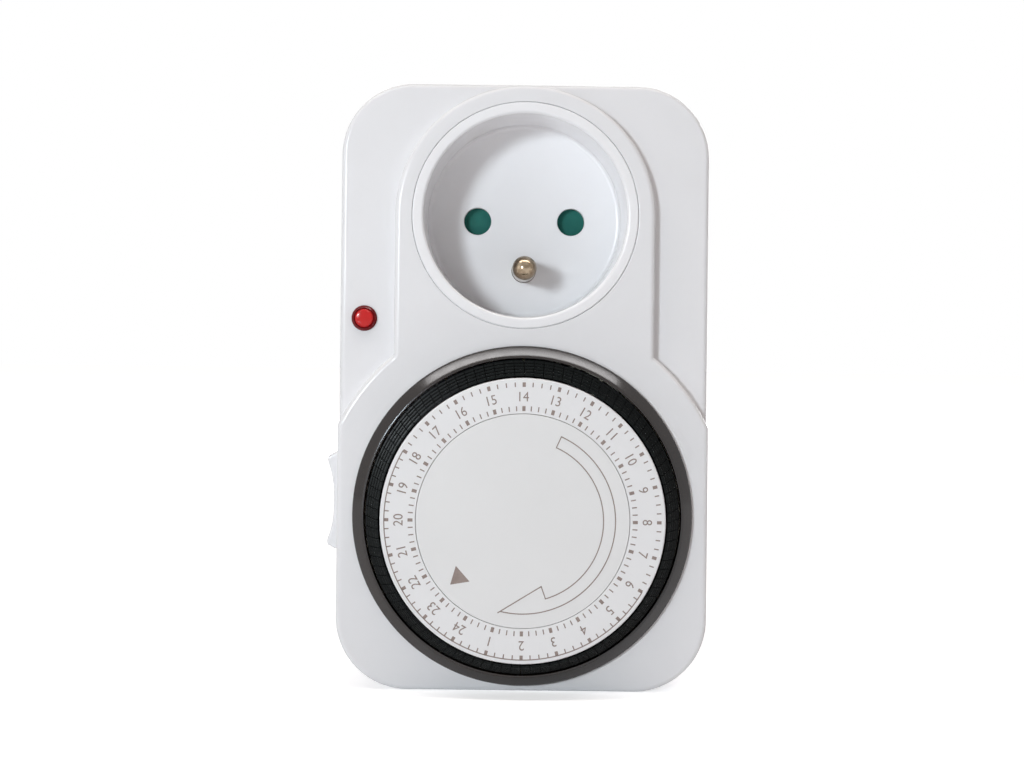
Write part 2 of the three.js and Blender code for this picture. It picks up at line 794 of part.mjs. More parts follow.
// From the live pin's head, out of the plug boss, down the left side to the microswitch.
function liveFeedStrip() {
  const pinX = -pinSpacing / 2;
  const half = stripWidth / 2;
  const riserX = plugWall + lap + stripThickness - plugRadius;
  const riserLeft = riserX - stripThickness;
  const tabBackY = plugPinHeadFrontY - gap;
  return join(
    block([riserLeft, tabBackY - stripThickness, -half], [pinX + half, tabBackY, half]),
    block([riserLeft, feedStripY, -half], [riserX, tabBackY, half]),
    block([feedRunX - half, feedStripY, -half], [riserX, feedStripY + stripThickness, half]),
    stripEnd(feedRunX, half, feedStripY, feedTerminal),
  );
}

// From the microswitch's other terminal up to the live clip behind the socket.
function switchedLiveStrip() {
  const half = stripWidth / 2;
  const clipSide = -pinSpacing / 2 - plugPinRadius + clipGrip - clipLeafThickness;
  return join(
    block(
      [switchedRunX - half, switchedStripY, -half],
      [clipSide - gap, switchedStripY + stripThickness, half],
    ),
    stripEnd(switchedRunX, half, switchedStripY, switchedTerminal),
  );
}

function indicatorLens() {
  const lipBackY = baseFrontY - lensClearance;
  const dome = [0, 0.45, 0.8, 1].map((share) => {
    const rise = lensRim + lensDome * Math.sqrt(1 - share * share);
    return [share * lensRadius, lipBackY - rise];
  });
  return turned(
    [
      ...dome,
      [lensRadius, lipBackY],
      [neonRadius, lipBackY],
      [neonRadius, neonFrontY - gap],
      [0, neonFrontY - gap],
    ],
    { x: lensX, z: lensZ, segments: 20 },
  );
}

function neonLamp() {
  return turned(
    [
      ...domeProfile(neonRadius, neonFrontY, 1),
      [neonRadius, neonFrontY + neonLength],
      [0, neonFrontY + neonLength],
    ],
    { x: lensX, z: lensZ, segments: 12 },
  );
}

// The cap runs in its track outside the wall, and a stem and a foot keep it there.
function overrideSlider() {
  const base = sliderTrack - bodySide - gap;
  const proud = -bodySide - sliderProud;
  const dip = -bodySide - sliderDip;
  const half = sliderLength / 2;
  const [top, bottom] = [sliderZ + half, sliderZ - half];
  const shape = new THREE.Shape();
  shape.moveTo(base, bottom);
  shape.lineTo(base, top);
  shape.lineTo(proud + sliderRound, top);
  shape.quadraticCurveTo(proud, top, proud, top - sliderRound);
  shape.bezierCurveTo(dip, sliderZ + half / 2, dip, sliderZ + half / 3, dip, sliderZ);
  shape.bezierCurveTo(dip, sliderZ - half / 3, dip, sliderZ - half / 2, proud, bottom + sliderRound);
  shape.quadraticCurveTo(proud, bottom, proud + sliderRound, bottom);
  shape.closePath();
  const cap = prism(shape, sliderY - sliderWidth / 2, sliderY + sliderWidth / 2, { segments: 6 });
  const footX = wall - bodySide + gap;
  const stem = block(
    [base - lap, sliderY - sliderWidth / 4, sliderZ - sliderStemHalf],
    [footX + lap, sliderY + sliderWidth / 4, sliderZ + sliderStemHalf],
  );
  const footHalf = sliderStemHalf + sliderFootReach;
  const foot = block(
    [footX, sliderY - sliderWidth / 2, sliderZ - footHalf],
    [footX + sliderFootThickness, sliderY + sliderWidth / 2, sliderZ + footHalf],
  );
  return join(cap, stem, foot);
}

function housingScrew() {
  const shape = [
    [0, screwTipY],
    [screwRadius / 2, screwTipY],
    [screwRadius, screwTipY + screwPoint],
    [screwRadius, screwHeadFrontY],
    [screwHeadRadius, screwHeadFrontY],
    [screwHeadRadius, screwHeadBackY - screwHeadEdge],
    [screwHeadRadius - screwHeadEdge, screwHeadBackY],
    [0, screwHeadBackY],
  ];
  const slots = [
    [screwSlotHalfWidth, screwSlotHalfLength],
    [screwSlotHalfLength, screwSlotHalfWidth],
  ].map(([x, z]) => block([-x, screwHeadBackY - screwSlotDepth, -z], [x, screwHeadBackY + past, z]));
  return cut(turned(shape, { segments: 12 }), slots);
}

// Half the angle of an involute tooth at a radius, thinned by the backlash.
function toothHalfAngle(teeth, radius) {
  const pitch = (gearModule * teeth) / 2;
  const pressure = radians(pressureAngle);
  const base = pitch * Math.cos(pressure);
  const involute = (angle) => Math.tan(angle) - angle;
  const at = Math.acos(Math.min(1, base / Math.max(radius, base)));
  return Math.PI / (2 * teeth) + involute(pressure) - involute(at) - backlash / radius;
}

// A spur gear's outline, with a tooth centred on the bearing.
function gearOutline(teeth, bearing, boreRadius) {
  const pitch = (gearModule * teeth) / 2;
  const few = teeth < 20;
  const root = pitch - dedendum * gearModule;
  const tip = pitch + addendum * gearModule;
  const radii = few ? [root, pitch, tip] : [root, tip];
  const points = [];
  for (let tooth = 0; tooth < teeth; tooth++) {
    const middle = radians(bearing + (360 * tooth) / teeth);
    const flank = (side) => (radius) => {
      const angle = middle + side * toothHalfAngle(teeth, radius);
      return new THREE.Vector2(radius * Math.sin(angle), radius * Math.cos(angle));
    };
    points.push(...radii.map(flank(-1)), ...radii.toReversed().map(flank(1)));
  }
  const shape = new THREE.Shape(points);
  const bore = new THREE.Path();
  bore.absarc(0, 0, boreRadius, 0, 2 * Math.PI);
  shape.holes.push(bore);
  return shape;
}

// In the dial's own frame: front web, wall behind the number ring, gear ring at the back, ribs between
// the hours and the outer sleeve that carries the grip ring.
function dialDrum() {
  const webFrontY = faceBackY + gap;
  const webBackY = webFrontY + drumWall;
  const sleeveBackY = tripperRearY - sleeveClearance;
  const stepFrontY = sleeveBackY - drumWall;
  const gearRoot = (gearModule * drumTeeth) / 2 - dedendum * gearModule;
  const boreRadius = spindleRadius + gap;
  const body = turned(
    [
      [boreRadius, webFrontY],
      [drumRadius, webFrontY],
      [drumRadius, sleeveBackY],
      [gearRoot, sleeveBackY],
      [gearRoot, drumGearBackY],
      [gearRoot - drumWall, drumGearBackY],
      [gearRoot - drumWall, stepFrontY],
      [drumRadius - drumWall, stepFrontY],
      [drumRadius - drumWall, webBackY],
      [hubRadius, webBackY],
      [hubRadius, hubBackY],
      [boreRadius, hubBackY],
    ],
    { segments: 36 },
  );
  const gear = prism(
    gearOutline(drumTeeth, reductionBearing, gearRoot - lap),
    drumGearFrontY,
    drumGearBackY,
    { segments: 12 },
  );
  const sleeve = tube(gripInner, gripInner + sleeveWall, plateauFrontY, sleeveBackY);
  const ribs = Array.from({ length: hours / hoursPerRib }, (_, index) => {
    const rib = new THREE.BoxGeometry(ribThickness, ribLength, gripInner - drumRadius + lap);
    rib.translate(0, sleeveBackY - ribLength / 2, (gripInner + drumRadius) / 2);
    return solidOf(rib.rotateY(radians((360 * hoursPerRib * index) / hours)));
  });
  return join(body, gear, sleeve, ribs);
}

function gripRing() {
  const backY = plateauFrontY - gap;
  const frontY = plateauFrontY - gripRise;
  return turned(
    [
      [gripInner, backY],
      [gripOuter, backY],
      [gripOuter, backY - gripEdge],
      [gripInner + gripLand, frontY],
      [gripInner, frontY],
    ],
    { segments: 48 },
  );
}

function numberRing() {
  return turned(
    [
      [numberInner, faceFrontY],
      [numberOuter - faceEdge, faceFrontY],
      [numberOuter, faceFrontY + faceEdge],
      [numberOuter, faceBackY],
      [numberInner, faceBackY],
    ],
    { segments: 48 },
  );
}

function pointerDisc() {
  return turned(
    [
      [0, faceFrontY],
      [pointerRadius - faceEdge, faceFrontY],
      [pointerRadius, faceFrontY + faceEdge],
      [pointerRadius, faceBackY],
      [0, faceBackY],
    ],
    { segments: 48 },
  );
}

// One hour of segments, in the dial's frame and centred on the top: four stepped heads on a block.
function tripperHour() {
  const pitch = (2 * Math.PI) / (hours * trippersPerHour);
  const headBackY = tripperBlockY + lap;
  const ribAngle = (ribThickness / 2 + gap) / (tripperInner - gap);
  const base = prism(
    sector(tripperInner, tripperOuter, Math.PI / hours - ribAngle),
    tripperBlockY,
    tripperRearY,
    { segments: 1 },
  );
  const [inner, outermost] = [tripperInner + headInset / 2, tripperOuter - headInset];
  const step = (outermost - inner) / tripperRises.length;
  const outline = [new THREE.Vector2(inner, headBackY), new THREE.Vector2(outermost, headBackY)];
  tripperRises.forEach((rise, index) => {
    const outer = outermost - index * step;
    outline.push(new THREE.Vector2(outer, plateauFrontY - rise));
    outline.push(new THREE.Vector2(outer - step, plateauFrontY - rise));
  });
  const heads = Array.from({ length: trippersPerHour }, (_, index) => {
    const head = new THREE.ExtrudeGeometry(new THREE.Shape(outline), {
      depth: tripperWidth,
      bevelEnabled: false,
    });
    head.translate(0, 0, -tripperWidth / 2).rotateY(-Math.PI / 2);
    return solidOf(head.rotateY((index - (trippersPerHour - 1) / 2) * pitch));
  });
  return join(base, heads);
}

function dialSpindle() {
  const grooveFrontY = hubBackY + gap;
  const grooveBackY = grooveFrontY + spindleClipThickness + 2 * groovePlay;
  const flangeFrontY = plateFrontY - gap - flangeThickness;
  return turned([
    [0, faceBackY + gap],
    [spindleRadius, faceBackY + gap],
    [spindleRadius, grooveFrontY],
    [spindleRadius - grooveDepth, grooveFrontY],
    [spindleRadius - grooveDepth, grooveBackY],
    [spindleRadius, grooveBackY],
    [spindleRadius, flangeFrontY],
    [hubRadius, flangeFrontY],
    [hubRadius, plateFrontY - gap],
    [0, plateFrontY - gap],
  ]);
}

function spindleClip() {
  const frontY = hubBackY + gap + groovePlay;
  const inner = spindleRadius - grooveDepth + gap;
  const outline = sector(inner, spindleRadius + spindleClipReach, radians(spindleClipHalfAngle));
  return prism(outline, frontY, frontY + spindleClipThickness);
}

// A pinion in mesh with the drum's gear, on a larger wheel in mesh with the motor's pinion.
function reductionGear() {
  const bore = arborRadius + gap;
  const pinion = gearOutline(pinionTeeth, reductionBearing + 180 - halfPinionPitch, bore);
  const wheel = gearOutline(wheelTeeth, motorPinionBearing, bore);
  return join(
    prism(pinion, drumGearFrontY - pinionOverhang, wheelFrontY + lap),
    prism(wheel, wheelFrontY, wheelBackY),
  );
}

function gearArbor() {
  const headBackY = drumGearFrontY - pinionOverhang - gap;
  const headFrontY = headBackY - arborHeadThickness;
  return turned(
    [
      [0, headFrontY],
      [arborHeadRadius, headFrontY],
      [arborHeadRadius, headBackY],
      [arborRadius, headBackY],
      [arborRadius, plateBackY],
      [0, plateBackY],
    ],
    { segments: 16 },
  );
}

function motorPinion() {
  const gear = gearOutline(pinionTeeth, motorPinionBearing + 180 - halfPinionPitch, shaftRadius / 2);
  const frontY = wheelFrontY - pinionOverhang;
  return join(
    prism(gear, frontY, wheelBackY),
    cylinder(shaftRadius, frontY, plateBackY, { segments: 16 }),
  );
}

// The motor fills the depth between the plate and the rear shell.
function motorHousing() {
  const backY = rearFloorY - motorRearClearance;
  const [x, offsetZ] = motorOffset;
  return turned(
    [
      [0, motorFrontY],
      [motorRadius - motorEdge, motorFrontY],
      [motorRadius, motorFrontY + motorEdge],
      [motorRadius, backY - motorEdge],
      [motorRadius - motorEdge, backY],
      [0, backY],
    ],
    { x, z: dialZ + offsetZ, segments: 32 },
  );
}

function mechanismPlate() {
  const corners = plateCorners.map(([x, z]) => new THREE.Vector2(x, dialZ + z));
  const hole = (radius, [x, z]) => cylinder(radius, plateFrontY - past, plateBackY + past, { x, z });
  return cut(
    prism(new THREE.Shape(corners), plateFrontY, plateBackY),
    hole(arborRadius + gap, reductionPlace),
    hole(shaftRadius + gap, motorPinionPlace),
    postPlaces.map((place) => hole(pegRadius + gap, place)),
  );
}

// The lever, its pin and the microswitch are drawn in the frame turned to the trip bearing.
function tripLever() {
  const hubHalf = earInner - gap;
  const hub = crossBar(leverHubRadius, pivotX, pivotY, tripRadius - hubHalf, tripRadius + hubHalf);
  const across = [tripRadius - leverWidth / 2, tripRadius + leverWidth / 2];
  const beam = block(
    [pivotX, pivotY - leverThickness / 2, across[0]],
    [leverTip, pivotY + leverThickness / 2, across[1]],
  );
  const noseHalf = tripperWidth / 2;
  const nose = block(
    [-noseHalf, tripperRearY + gap, across[0] + noseInset],
    [noseHalf, pivotY, across[1] - noseInset],
  );
  const bore = crossBar(leverPinRadius + gap, pivotX, pivotY, tripRadius - earInner, tripRadius + earInner);
  return cut(join(solidOf(hub), beam, nose), solidOf(bore));
}

function leverPin() {
  const reach = earInner + earThickness;
  return solidOf(crossBar(leverPinRadius, pivotX, pivotY, tripRadius - reach, tripRadius + reach));
}

function microswitchBody() {
  const [length, depth, width] = microswitchSize;
  const body = block(
    [microswitchX, microswitchFrontY, tripRadius - width / 2],
    [microswitchX + length, microswitchFrontY + depth, tripRadius + width / 2],
  );
  const bore = cylinder(buttonRadius + gap, microswitchFrontY - past, buttonBackY + buttonTravel + gap, {
    x: buttonX,
    z: tripRadius,
    segments: 16,
  });
  return cut(body, bore);
}

function microswitchButton() {
  return cylinder(buttonRadius, buttonFrontY, buttonBackY, { x: buttonX, z: tripRadius, segments: 16 });
}

const timer = new THREE.Group();
const dial = new THREE.Group();
const tripWork = new THREE.Group();
dial.position.z = dialZ;
tripWork.position.z = dialZ;
tripWork.rotation.y = radians(tripBearing);
timer.add(dial, tripWork);

timer.add(
  meshOf("front_housing", frontHousing(), white),
  meshOf("rear_housing", rearHousing(), white),
  meshOf("socket_insert", socketInsert(), white),
  meshOf("safety_shutter", safetyShutter(), teal),
  meshOf("shutter_spring", shutterSpring(), steel),
  meshOf("earth_pin", earthPin(), nickel),
  meshOf("earth_strap", earthStrap(), brass),
  meshOf("plug_pin_live", plugPin(-pinSpacing / 2), nickel),
  meshOf("plug_pin_neutral", plugPin(pinSpacing / 2), nickel),
  meshOf("live_clip", contactClip(-pinSpacing / 2, clipBaseY), brass),
  meshOf("neutral_clip", contactClip(pinSpacing / 2, plugPinHeadFrontY - gap), brass),
  meshOf("live_feed_strip", liveFeedStrip(), brass),
  meshOf("switched_live_strip", switchedLiveStrip(), brass),
  meshOf("indicator_lens", indicatorLens(), red),
  meshOf("neon_lamp", neonLamp(), glass),
  meshOf("override_slider", overrideSlider(), white),
  meshOf("mechanism_plate", mechanismPlate(), steel),
  meshOf("motor_housing", motorHousing(), steel),
);

screwPlaces.forEach(([x, z], index) => {
  const screw = meshOf(`housing_screw_${index + 1}`, housingScrew(), steel);
  screw.position.set(x, 0, z);
  timer.add(screw);
});

const reduction = meshOf("reduction_gear", reductionGear(), nylon);
const arbor = meshOf("gear_arbor", gearArbor(), steel);
const motorGear = meshOf("motor_pinion", motorPinion(), brass);
reduction.position.set(reductionPlace[0], 0, reductionPlace[1]);
arbor.position.set(reductionPlace[0], 0, reductionPlace[1]);
motorGear.position.set(motorPinionPlace[0], 0, motorPinionPlace[1]);
timer.add(reduction, arbor, motorGear);

dial.add(
  meshOf("dial_spindle", dialSpindle(), steel),
  meshOf("spindle_clip", spindleClip(), steel),
  meshOf("pointer_disc", pointerDisc(), dialWhite),
  meshOf("number_ring", numberRing(), dialWhite),
  meshOf("dial_drum", dialDrum(), nylon),
  meshOf("grip_ring", gripRing(), smoked),
);

const hourSolid = tripperHour();
for (let hour = 0; hour < hours; hour++) {
  const name = `tripper_${String(hour + 1).padStart(2, "0")}`;
  const tripper = meshOf(name, hourSolid, black);
  tripper.rotation.y = radians((360 / hours) * (hour + 0.5));
  dial.add(tripper);
}

tripWork.add(
  meshOf("trip_lever", tripLever(), nylon),
  meshOf("lever_pin", leverPin(), steel),
  meshOf("microswitch_body", microswitchBody(), phenolic),
  meshOf("microswitch_button", microswitchButton(), red),
);

export default timer;
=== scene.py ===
import math

import bmesh
import bpy
from mathutils import Matrix, Vector


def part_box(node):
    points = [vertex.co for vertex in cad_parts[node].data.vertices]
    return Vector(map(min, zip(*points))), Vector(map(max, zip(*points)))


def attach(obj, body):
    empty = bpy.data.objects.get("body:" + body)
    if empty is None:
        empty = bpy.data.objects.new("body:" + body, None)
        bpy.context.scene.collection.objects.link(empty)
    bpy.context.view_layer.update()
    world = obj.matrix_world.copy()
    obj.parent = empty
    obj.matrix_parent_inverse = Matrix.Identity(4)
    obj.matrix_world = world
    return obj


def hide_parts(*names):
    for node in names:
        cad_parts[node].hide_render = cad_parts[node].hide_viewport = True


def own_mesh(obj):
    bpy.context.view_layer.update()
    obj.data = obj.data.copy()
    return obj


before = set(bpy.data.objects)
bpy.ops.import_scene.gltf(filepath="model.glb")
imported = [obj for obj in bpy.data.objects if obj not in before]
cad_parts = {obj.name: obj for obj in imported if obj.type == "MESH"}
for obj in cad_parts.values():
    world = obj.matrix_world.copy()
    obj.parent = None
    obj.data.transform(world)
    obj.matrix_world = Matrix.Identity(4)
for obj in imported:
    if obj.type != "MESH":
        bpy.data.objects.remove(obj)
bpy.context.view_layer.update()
print("frame loaded")

# Sizes below are in millimetres in the CAD frame: the wall is towards +Y and the front faces -Y.
mm = 0.001
yAxis = (0, 1, 0)
dialCentre = (0, -58)
lensPlace = (-31.15, -20.2)
earthPlace = (0, -10)
pinPlaces = [(-9.5, 0), (9.5, 0)]
screwPlaces = [(x, z) for x in (-28.5, 28.5) for z in (18.3, -84.6)]
hours = 24
tabsPerHour = 4
quarters = hours * tabsPerHour
past = 1  # how far a cutting shape reaches past the face that it cuts
lap = 0.5  # how far a joined shape reaches past the face that it stands on
weldDistance = 0.001
sliverLength = 0.0005
depthTolerance = 0.0001
shortEdge = 0.1
sharpAngle = 34
quarterTurn = Matrix.Rotation(math.radians(90), 3, "X")


# shared shaping tools
def aboutDial(degrees):
    # a turn about the dial's axis, clockwise from the front
    middle = Vector((dialCentre[0], 0, dialCentre[1]))
    turn = Matrix.Rotation(math.radians(degrees), 4, "Y")
    return Matrix.Translation(middle) @ turn @ Matrix.Translation(-middle)


def spinPoint(bm, vert, centre, degrees, steps):
    # draws an arc from a vertex and gives back its last vertex; degrees run clockwise from the front
    made = bmesh.ops.spin(bm, geom=[vert], cent=(centre[0], 0, centre[1]), axis=yAxis,
                          angle=math.radians(degrees), steps=steps, use_duplicate=False)
    return next(g for g in made["geom_last"] if isinstance(g, bmesh.types.BMVert))


def roundOff(bm, geom, offset, segments=4, affect="EDGES"):
    bmesh.ops.bevel(bm, geom=geom, offset=offset, offset_type="OFFSET", segments=segments,
                    profile=0.5, affect=affect, material=-1)


def turned(profile, centre=(0, 0), steps=96, rounds=()):
    # profile holds (radius, y); rounds holds (corner number, offset) for the corners that are rounded
    bm = bmesh.new()
    verts = [bm.verts.new((centre[0] + radius, y, centre[1])) for radius, y in profile]
    for pair in zip(verts, verts[1:]):
        bm.edges.new(pair)
    if profile[0][0] > 0 and profile[-1][0] > 0:
        bm.edges.new((verts[-1], verts[0]))
    for corner, offset in rounds:
        roundOff(bm, [verts[corner]], offset, affect="VERTICES")
    bmesh.ops.spin(bm, geom=bm.verts[:] + bm.edges[:], cent=(centre[0], 0, centre[1]), axis=yAxis,
                   angle=math.tau, steps=steps, use_merge=True, use_duplicate=False)
    return bm


def rod(radius, front, back, centre=(0, 0), steps=48):
    return turned([(0, front), (radius, front), (radius, back), (0, back)], centre, steps)


def box(low, high):
    bm = bmesh.new()
    made = bmesh.ops.create_cube(bm, size=1)
    low, high = Vector(low), Vector(high)
    bmesh.ops.scale(bm, vec=high - low, verts=made["verts"])
    bmesh.ops.translate(bm, vec=(low + high) / 2, verts=made["verts"])
    return bm


def edgesAlong(bm, axis):
    # the edges that run along an axis, 0 for X and 1 for Y
    return [e for e in bm.edges if abs(e.verts[0].co[axis] - e.verts[1].co[axis]) > shortEdge]


def edgesAtDepth(bm, y):
    return [e for e in bm.edges if all(abs(v.co.y - y) < depthTolerance for v in e.verts)]


def thicken(bm, depth):
    # gives flat faces a thickness towards the back
    made = bmesh.ops.extrude_face_region(bm, geom=bm.faces[:])
    moved = [g for g in made["geom"] if isinstance(g, bmesh.types.BMVert)]
    bmesh.ops.translate(bm, vec=(0, depth, 0), verts=moved)


def sweepRound(bm, geom, start, end, steps):
    # sweeps what is drawn at the top of the dial from one bearing to another
    middle = (0, 0, dialCentre[1])
    bmesh.ops.rotate(bm, verts=bm.verts, cent=middle, matrix=Matrix.Rotation(math.radians(start), 3, "Y"))
    bmesh.ops.spin(bm, geom=geom, cent=middle, axis=yAxis, angle=math.radians(end - start),
                   steps=steps, use_duplicate=False)


def meshFrom(bm, name):
    mesh = bpy.data.meshes.new(name)
    bm.to_mesh(mesh)
    bm.free()
    return mesh


def addMesh(bm, mesh):
    # adds a mesh to a shape and lets the mesh go
    bm.from_mesh(mesh)
    bpy.data.meshes.remove(mesh)


def placed(name, data):
    shown = bpy.data.objects.new(name, data)
    bpy.context.scene.collection.objects.link(shown)
    return shown


def solid(bm):
    # a working object in millimetres, for the boolean steps
    bmesh.ops.remove_doubles(bm, verts=bm.verts, dist=weldDistance)
    bmesh.ops.recalc_face_normals(bm, faces=bm.faces)
    return placed("working", meshFrom(bm, "working"))


def combine(shape, operation, *others):
    for other in others:
        tool = solid(other)
        step = shape.modifiers.new("step", "BOOLEAN")
        step.operation = operation
        step.solver = "EXACT"
        step.object = tool
        result = bpy.data.meshes.new_from_object(shape.evaluated_get(bpy.context.evaluated_depsgraph_get()))
        shape.modifiers.remove(step)
        spare = shape.data
        shape.data = result
        bpy.data.meshes.remove(spare)
        bpy.data.objects.remove(tool)


def welded(mesh):
    # joins the points that the boolean steps leave beside each other
    bm = bmesh.new()
    bm.from_mesh(mesh)
    bmesh.ops.remove_doubles(bm, verts=bm.verts, dist=weldDistance)
    bmesh.ops.dissolve_degenerate(bm, edges=bm.edges, dist=sliverLength)
    bm.to_mesh(mesh)
    bm.free()


def finishPiece(shape, name, body, finish, stands=()):
    # names the piece, brings it to metres, shades it and hands it to its CAD body
    if isinstance(shape, bmesh.types.BMesh):
        shape = solid(shape)
    shape.name = name
    mesh = shape.data
    mesh.name = name
    welded(mesh)
    mesh.transform(Matrix.Scale(mm, 4))
    mesh.materials.clear()
    mesh.materials.append(finishes[finish])
    mesh.polygons.foreach_set("use_smooth", [True] * len(mesh.polygons))
    mesh.set_sharp_from_angle(angle=math.radians(sharpAngle))
    weighted = shape.modifiers.new("weightedNormals", "WEIGHTED_NORMAL")
    weighted.keep_sharp = True
    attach(shape, body)
    if stands:
        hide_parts(*stands)
    return shape


# finishes; noise scales are in features per metre and depths in metres
noiseSpan = (0.3, 0.7)
rampSpan = (0.35, 0.65)
reliefStrength = 0.5
plainSpecular = 0.5
plasticDetail = 3
markDetail = 4
polishPerCloud = 6  # how much finer the polish is than the clouding


def tone(red, green, blue):
    # a screen colour, 0 to 255, as the shader wants it
    channel = [c / 255 for c in (red, green, blue)]
    return [c / 12.92 if c <= 0.04045 else ((c + 0.055) / 1.055) ** 2.4 for c in channel] + [1]


def newFinish(name, roughness=0.3, metallic=0.0, specular=plainSpecular):
    finish = bpy.data.materials.new(name)
    finish.use_nodes = True
    shader = finish.node_tree.nodes["Principled BSDF"]
    shader.inputs["Roughness"].default_value = roughness
    shader.inputs["Metallic"].default_value = metallic
    shader.inputs["Specular IOR Level"].default_value = specular
    return finish, finish.node_tree.nodes, finish.node_tree.links, shader


def grain(nodes, links, scale, detail=2, stretch=(1, 1, 1)):
    # noise on the piece's own coordinates
    place = nodes.new("ShaderNodeTexCoord")
    mapping = nodes.new("ShaderNodeMapping")
    mapping.inputs["Scale"].default_value = stretch
    noise = nodes.new("ShaderNodeTexNoise")
    noise.inputs["Scale"].default_value = scale
    noise.inputs["Detail"].default_value = detail
    links.new(place.outputs["Object"], mapping.inputs["Vector"])
    links.new(mapping.outputs["Vector"], noise.inputs["Vector"])
    return noise.outputs["Fac"]


def spread(nodes, links, value, source, target):
    # maps a value from one (low, high) to another
    ranged = nodes.new("ShaderNodeMapRange")
    for name, number in zip(("From Min", "From Max", "To Min", "To Max"), (*source, *target)):
        ranged.inputs[name].default_value = number
    links.new(value, ranged.inputs["Value"])
    return ranged.outputs["Result"]


def twoTone(nodes, links, value, first, second, span=rampSpan):
    ramp = nodes.new("ShaderNodeValToRGB")
    for element, position, colour in zip(ramp.color_ramp.elements, span, (first, second)):
        element.position = position
        element.color = colour
    links.new(value, ramp.inputs["Fac"])
    return ramp.outputs["Color"]


def relief(nodes, links, shader, value, depth):
    bump = nodes.new("ShaderNodeBump")
    bump.inputs["Distance"].default_value = depth
    bump.inputs["Strength"].default_value = reliefStrength
    links.new(value, bump.inputs["Height"])
    links.new(bump.outputs["Normal"], shader.inputs["Normal"])


def mouldedPlastic(name, look):
    # injection-moulded plastic: faint clouding in the colour, uneven polish and a very fine skin
    finish, nodes, links, shader = newFinish(name, specular=look.get("specular", plainSpecular))
    shader.inputs["Specular Tint"].default_value = look.get("tint", (1, 1, 1, 1))
    detail = look.get("detail", plasticDetail)
    cloud = grain(nodes, links, look["cloudScale"], detail)
    links.new(twoTone(nodes, links, cloud, look["low"], look["high"]), shader.inputs["Base Color"])
    polish = grain(nodes, links, look.get("polishScale", look["cloudScale"] * polishPerCloud), detail)
    links.new(spread(nodes, links, polish, noiseSpan, look["roughness"]), shader.inputs["Roughness"])
    relief(nodes, links, shader, grain(nodes, links, look["skinScale"]), look["skinDepth"])
    return finish


def drawnMetal(name, look):
    # metal with fine marks that run round or along the piece
    finish, nodes, links, shader = newFinish(name, metallic=1.0)
    marks = grain(nodes, links, look["markScale"], markDetail, look["stretch"])
    links.new(twoTone(nodes, links, marks, look["low"], look["high"]), shader.inputs["Base Color"])
    links.new(spread(nodes, links, marks, noiseSpan, look["roughness"]), shader.inputs["Roughness"])
    relief(nodes, links, shader, marks, look["markDepth"])
    return finish


plasticLooks = {
    "caseWhite": dict(low=tone(229, 229, 231), high=tone(231, 231, 233), cloudScale=40,
                      roughness=(0.19, 0.22), skinScale=1500, skinDepth=0.000004, specular=0.4),
    # the socket cup's white is painted lighter than the case's white, to make up for the light that its deep
    # recess loses
    "socketWhitePaintedLight": dict(low=tone(238, 238, 240), high=tone(240, 240, 242), cloudScale=45,
                        roughness=(0.2, 0.23), skinScale=1500, skinDepth=0.000004, specular=0.45),
    "ringWhite": dict(low=tone(227, 227, 228), high=tone(229, 229, 230), cloudScale=50,
                      roughness=(0.38, 0.46), skinScale=2500, skinDepth=0.000008, specular=0.4),
    "discWhite": dict(low=tone(224, 224, 224), high=tone(226, 226, 226), cloudScale=50,
                      roughness=(0.38, 0.46), skinScale=2500, skinDepth=0.000008, specular=0.4),
    "tabBlack": dict(low=tone(5, 9, 9), high=tone(11, 15, 15), cloudScale=300,
                     roughness=(0.24, 0.34), skinScale=3000, skinDepth=0.000006, specular=0.1),
    "shutterGreen": dict(low=tone(24, 92, 84), high=tone(36, 106, 97), cloudScale=200,
                         roughness=(0.4, 0.55), skinScale=2500, skinDepth=0.00001, specular=0.15),
    "gearNylon": dict(low=tone(214, 209, 192), high=tone(223, 218, 203), cloudScale=90,
                      roughness=(0.4, 0.55), skinScale=2000, skinDepth=0.00001),
    "switchBlack": dict(low=tone(38, 38, 40), high=tone(48, 48, 50), cloudScale=120,
                        roughness=(0.5, 0.65), skinScale=2500, skinDepth=0.00002),
    "buttonRed": dict(low=tone(150, 30, 36), high=tone(162, 38, 44), cloudScale=300,
                      roughness=(0.35, 0.5), skinScale=2500, skinDepth=0.00001),
    "printGrey": dict(low=tone(143, 129, 123), high=tone(153, 139, 133), cloudScale=900,
                      roughness=(0.5, 0.6), skinScale=6000, skinDepth=0.000003, specular=0.2),
    "smokedPlastic": dict(low=tone(36, 27, 21), high=tone(43, 33, 26), cloudScale=60, polishScale=400,
                          detail=2, roughness=(0.13, 0.17), skinScale=1500, skinDepth=0.000004,
                          tint=(0.88, 0.94, 1, 1)),
}
metalLooks = {
    "darkNickel": dict(low=tone(132, 115, 95), high=tone(160, 146, 126), markScale=1400, stretch=(1, 0.25, 1),
                       roughness=(0.14, 0.24), markDepth=0.000012),
    "nickelPlate": dict(low=tone(196, 188, 172), high=tone(214, 207, 194), markScale=400, stretch=(1, 0.2, 1),
                        roughness=(0.14, 0.24), markDepth=0.000004),
    "brassSheet": dict(low=tone(176, 140, 74), high=tone(196, 160, 92), markScale=300, stretch=(1, 1, 0.2),
                       roughness=(0.28, 0.42), markDepth=0.000006),
    "steelZinc": dict(low=tone(160, 162, 165), high=tone(184, 186, 190), markScale=250, stretch=(1, 1, 1),
                      roughness=(0.3, 0.45), markDepth=0.000008),
}
# the lens's bright middle colour is painted light, as if shining through from the lamp's hole; the rim colour
# is a dark red
lensLook = dict(
    outer=2.6, darkFrom=1.95, paintedLightTo=1.6, rim=tone(104, 14, 20), middle=tone(198, 32, 32),
    deep=1000, roughness=0.12, specular=0.25, skinScale=1800, skinDepth=0.000006,
)
glassLook = dict(
    low=tone(236, 206, 190), high=tone(243, 222, 208), cloudScale=300, roughness=0.05,
    transmission=0.85, ior=1.5,
)


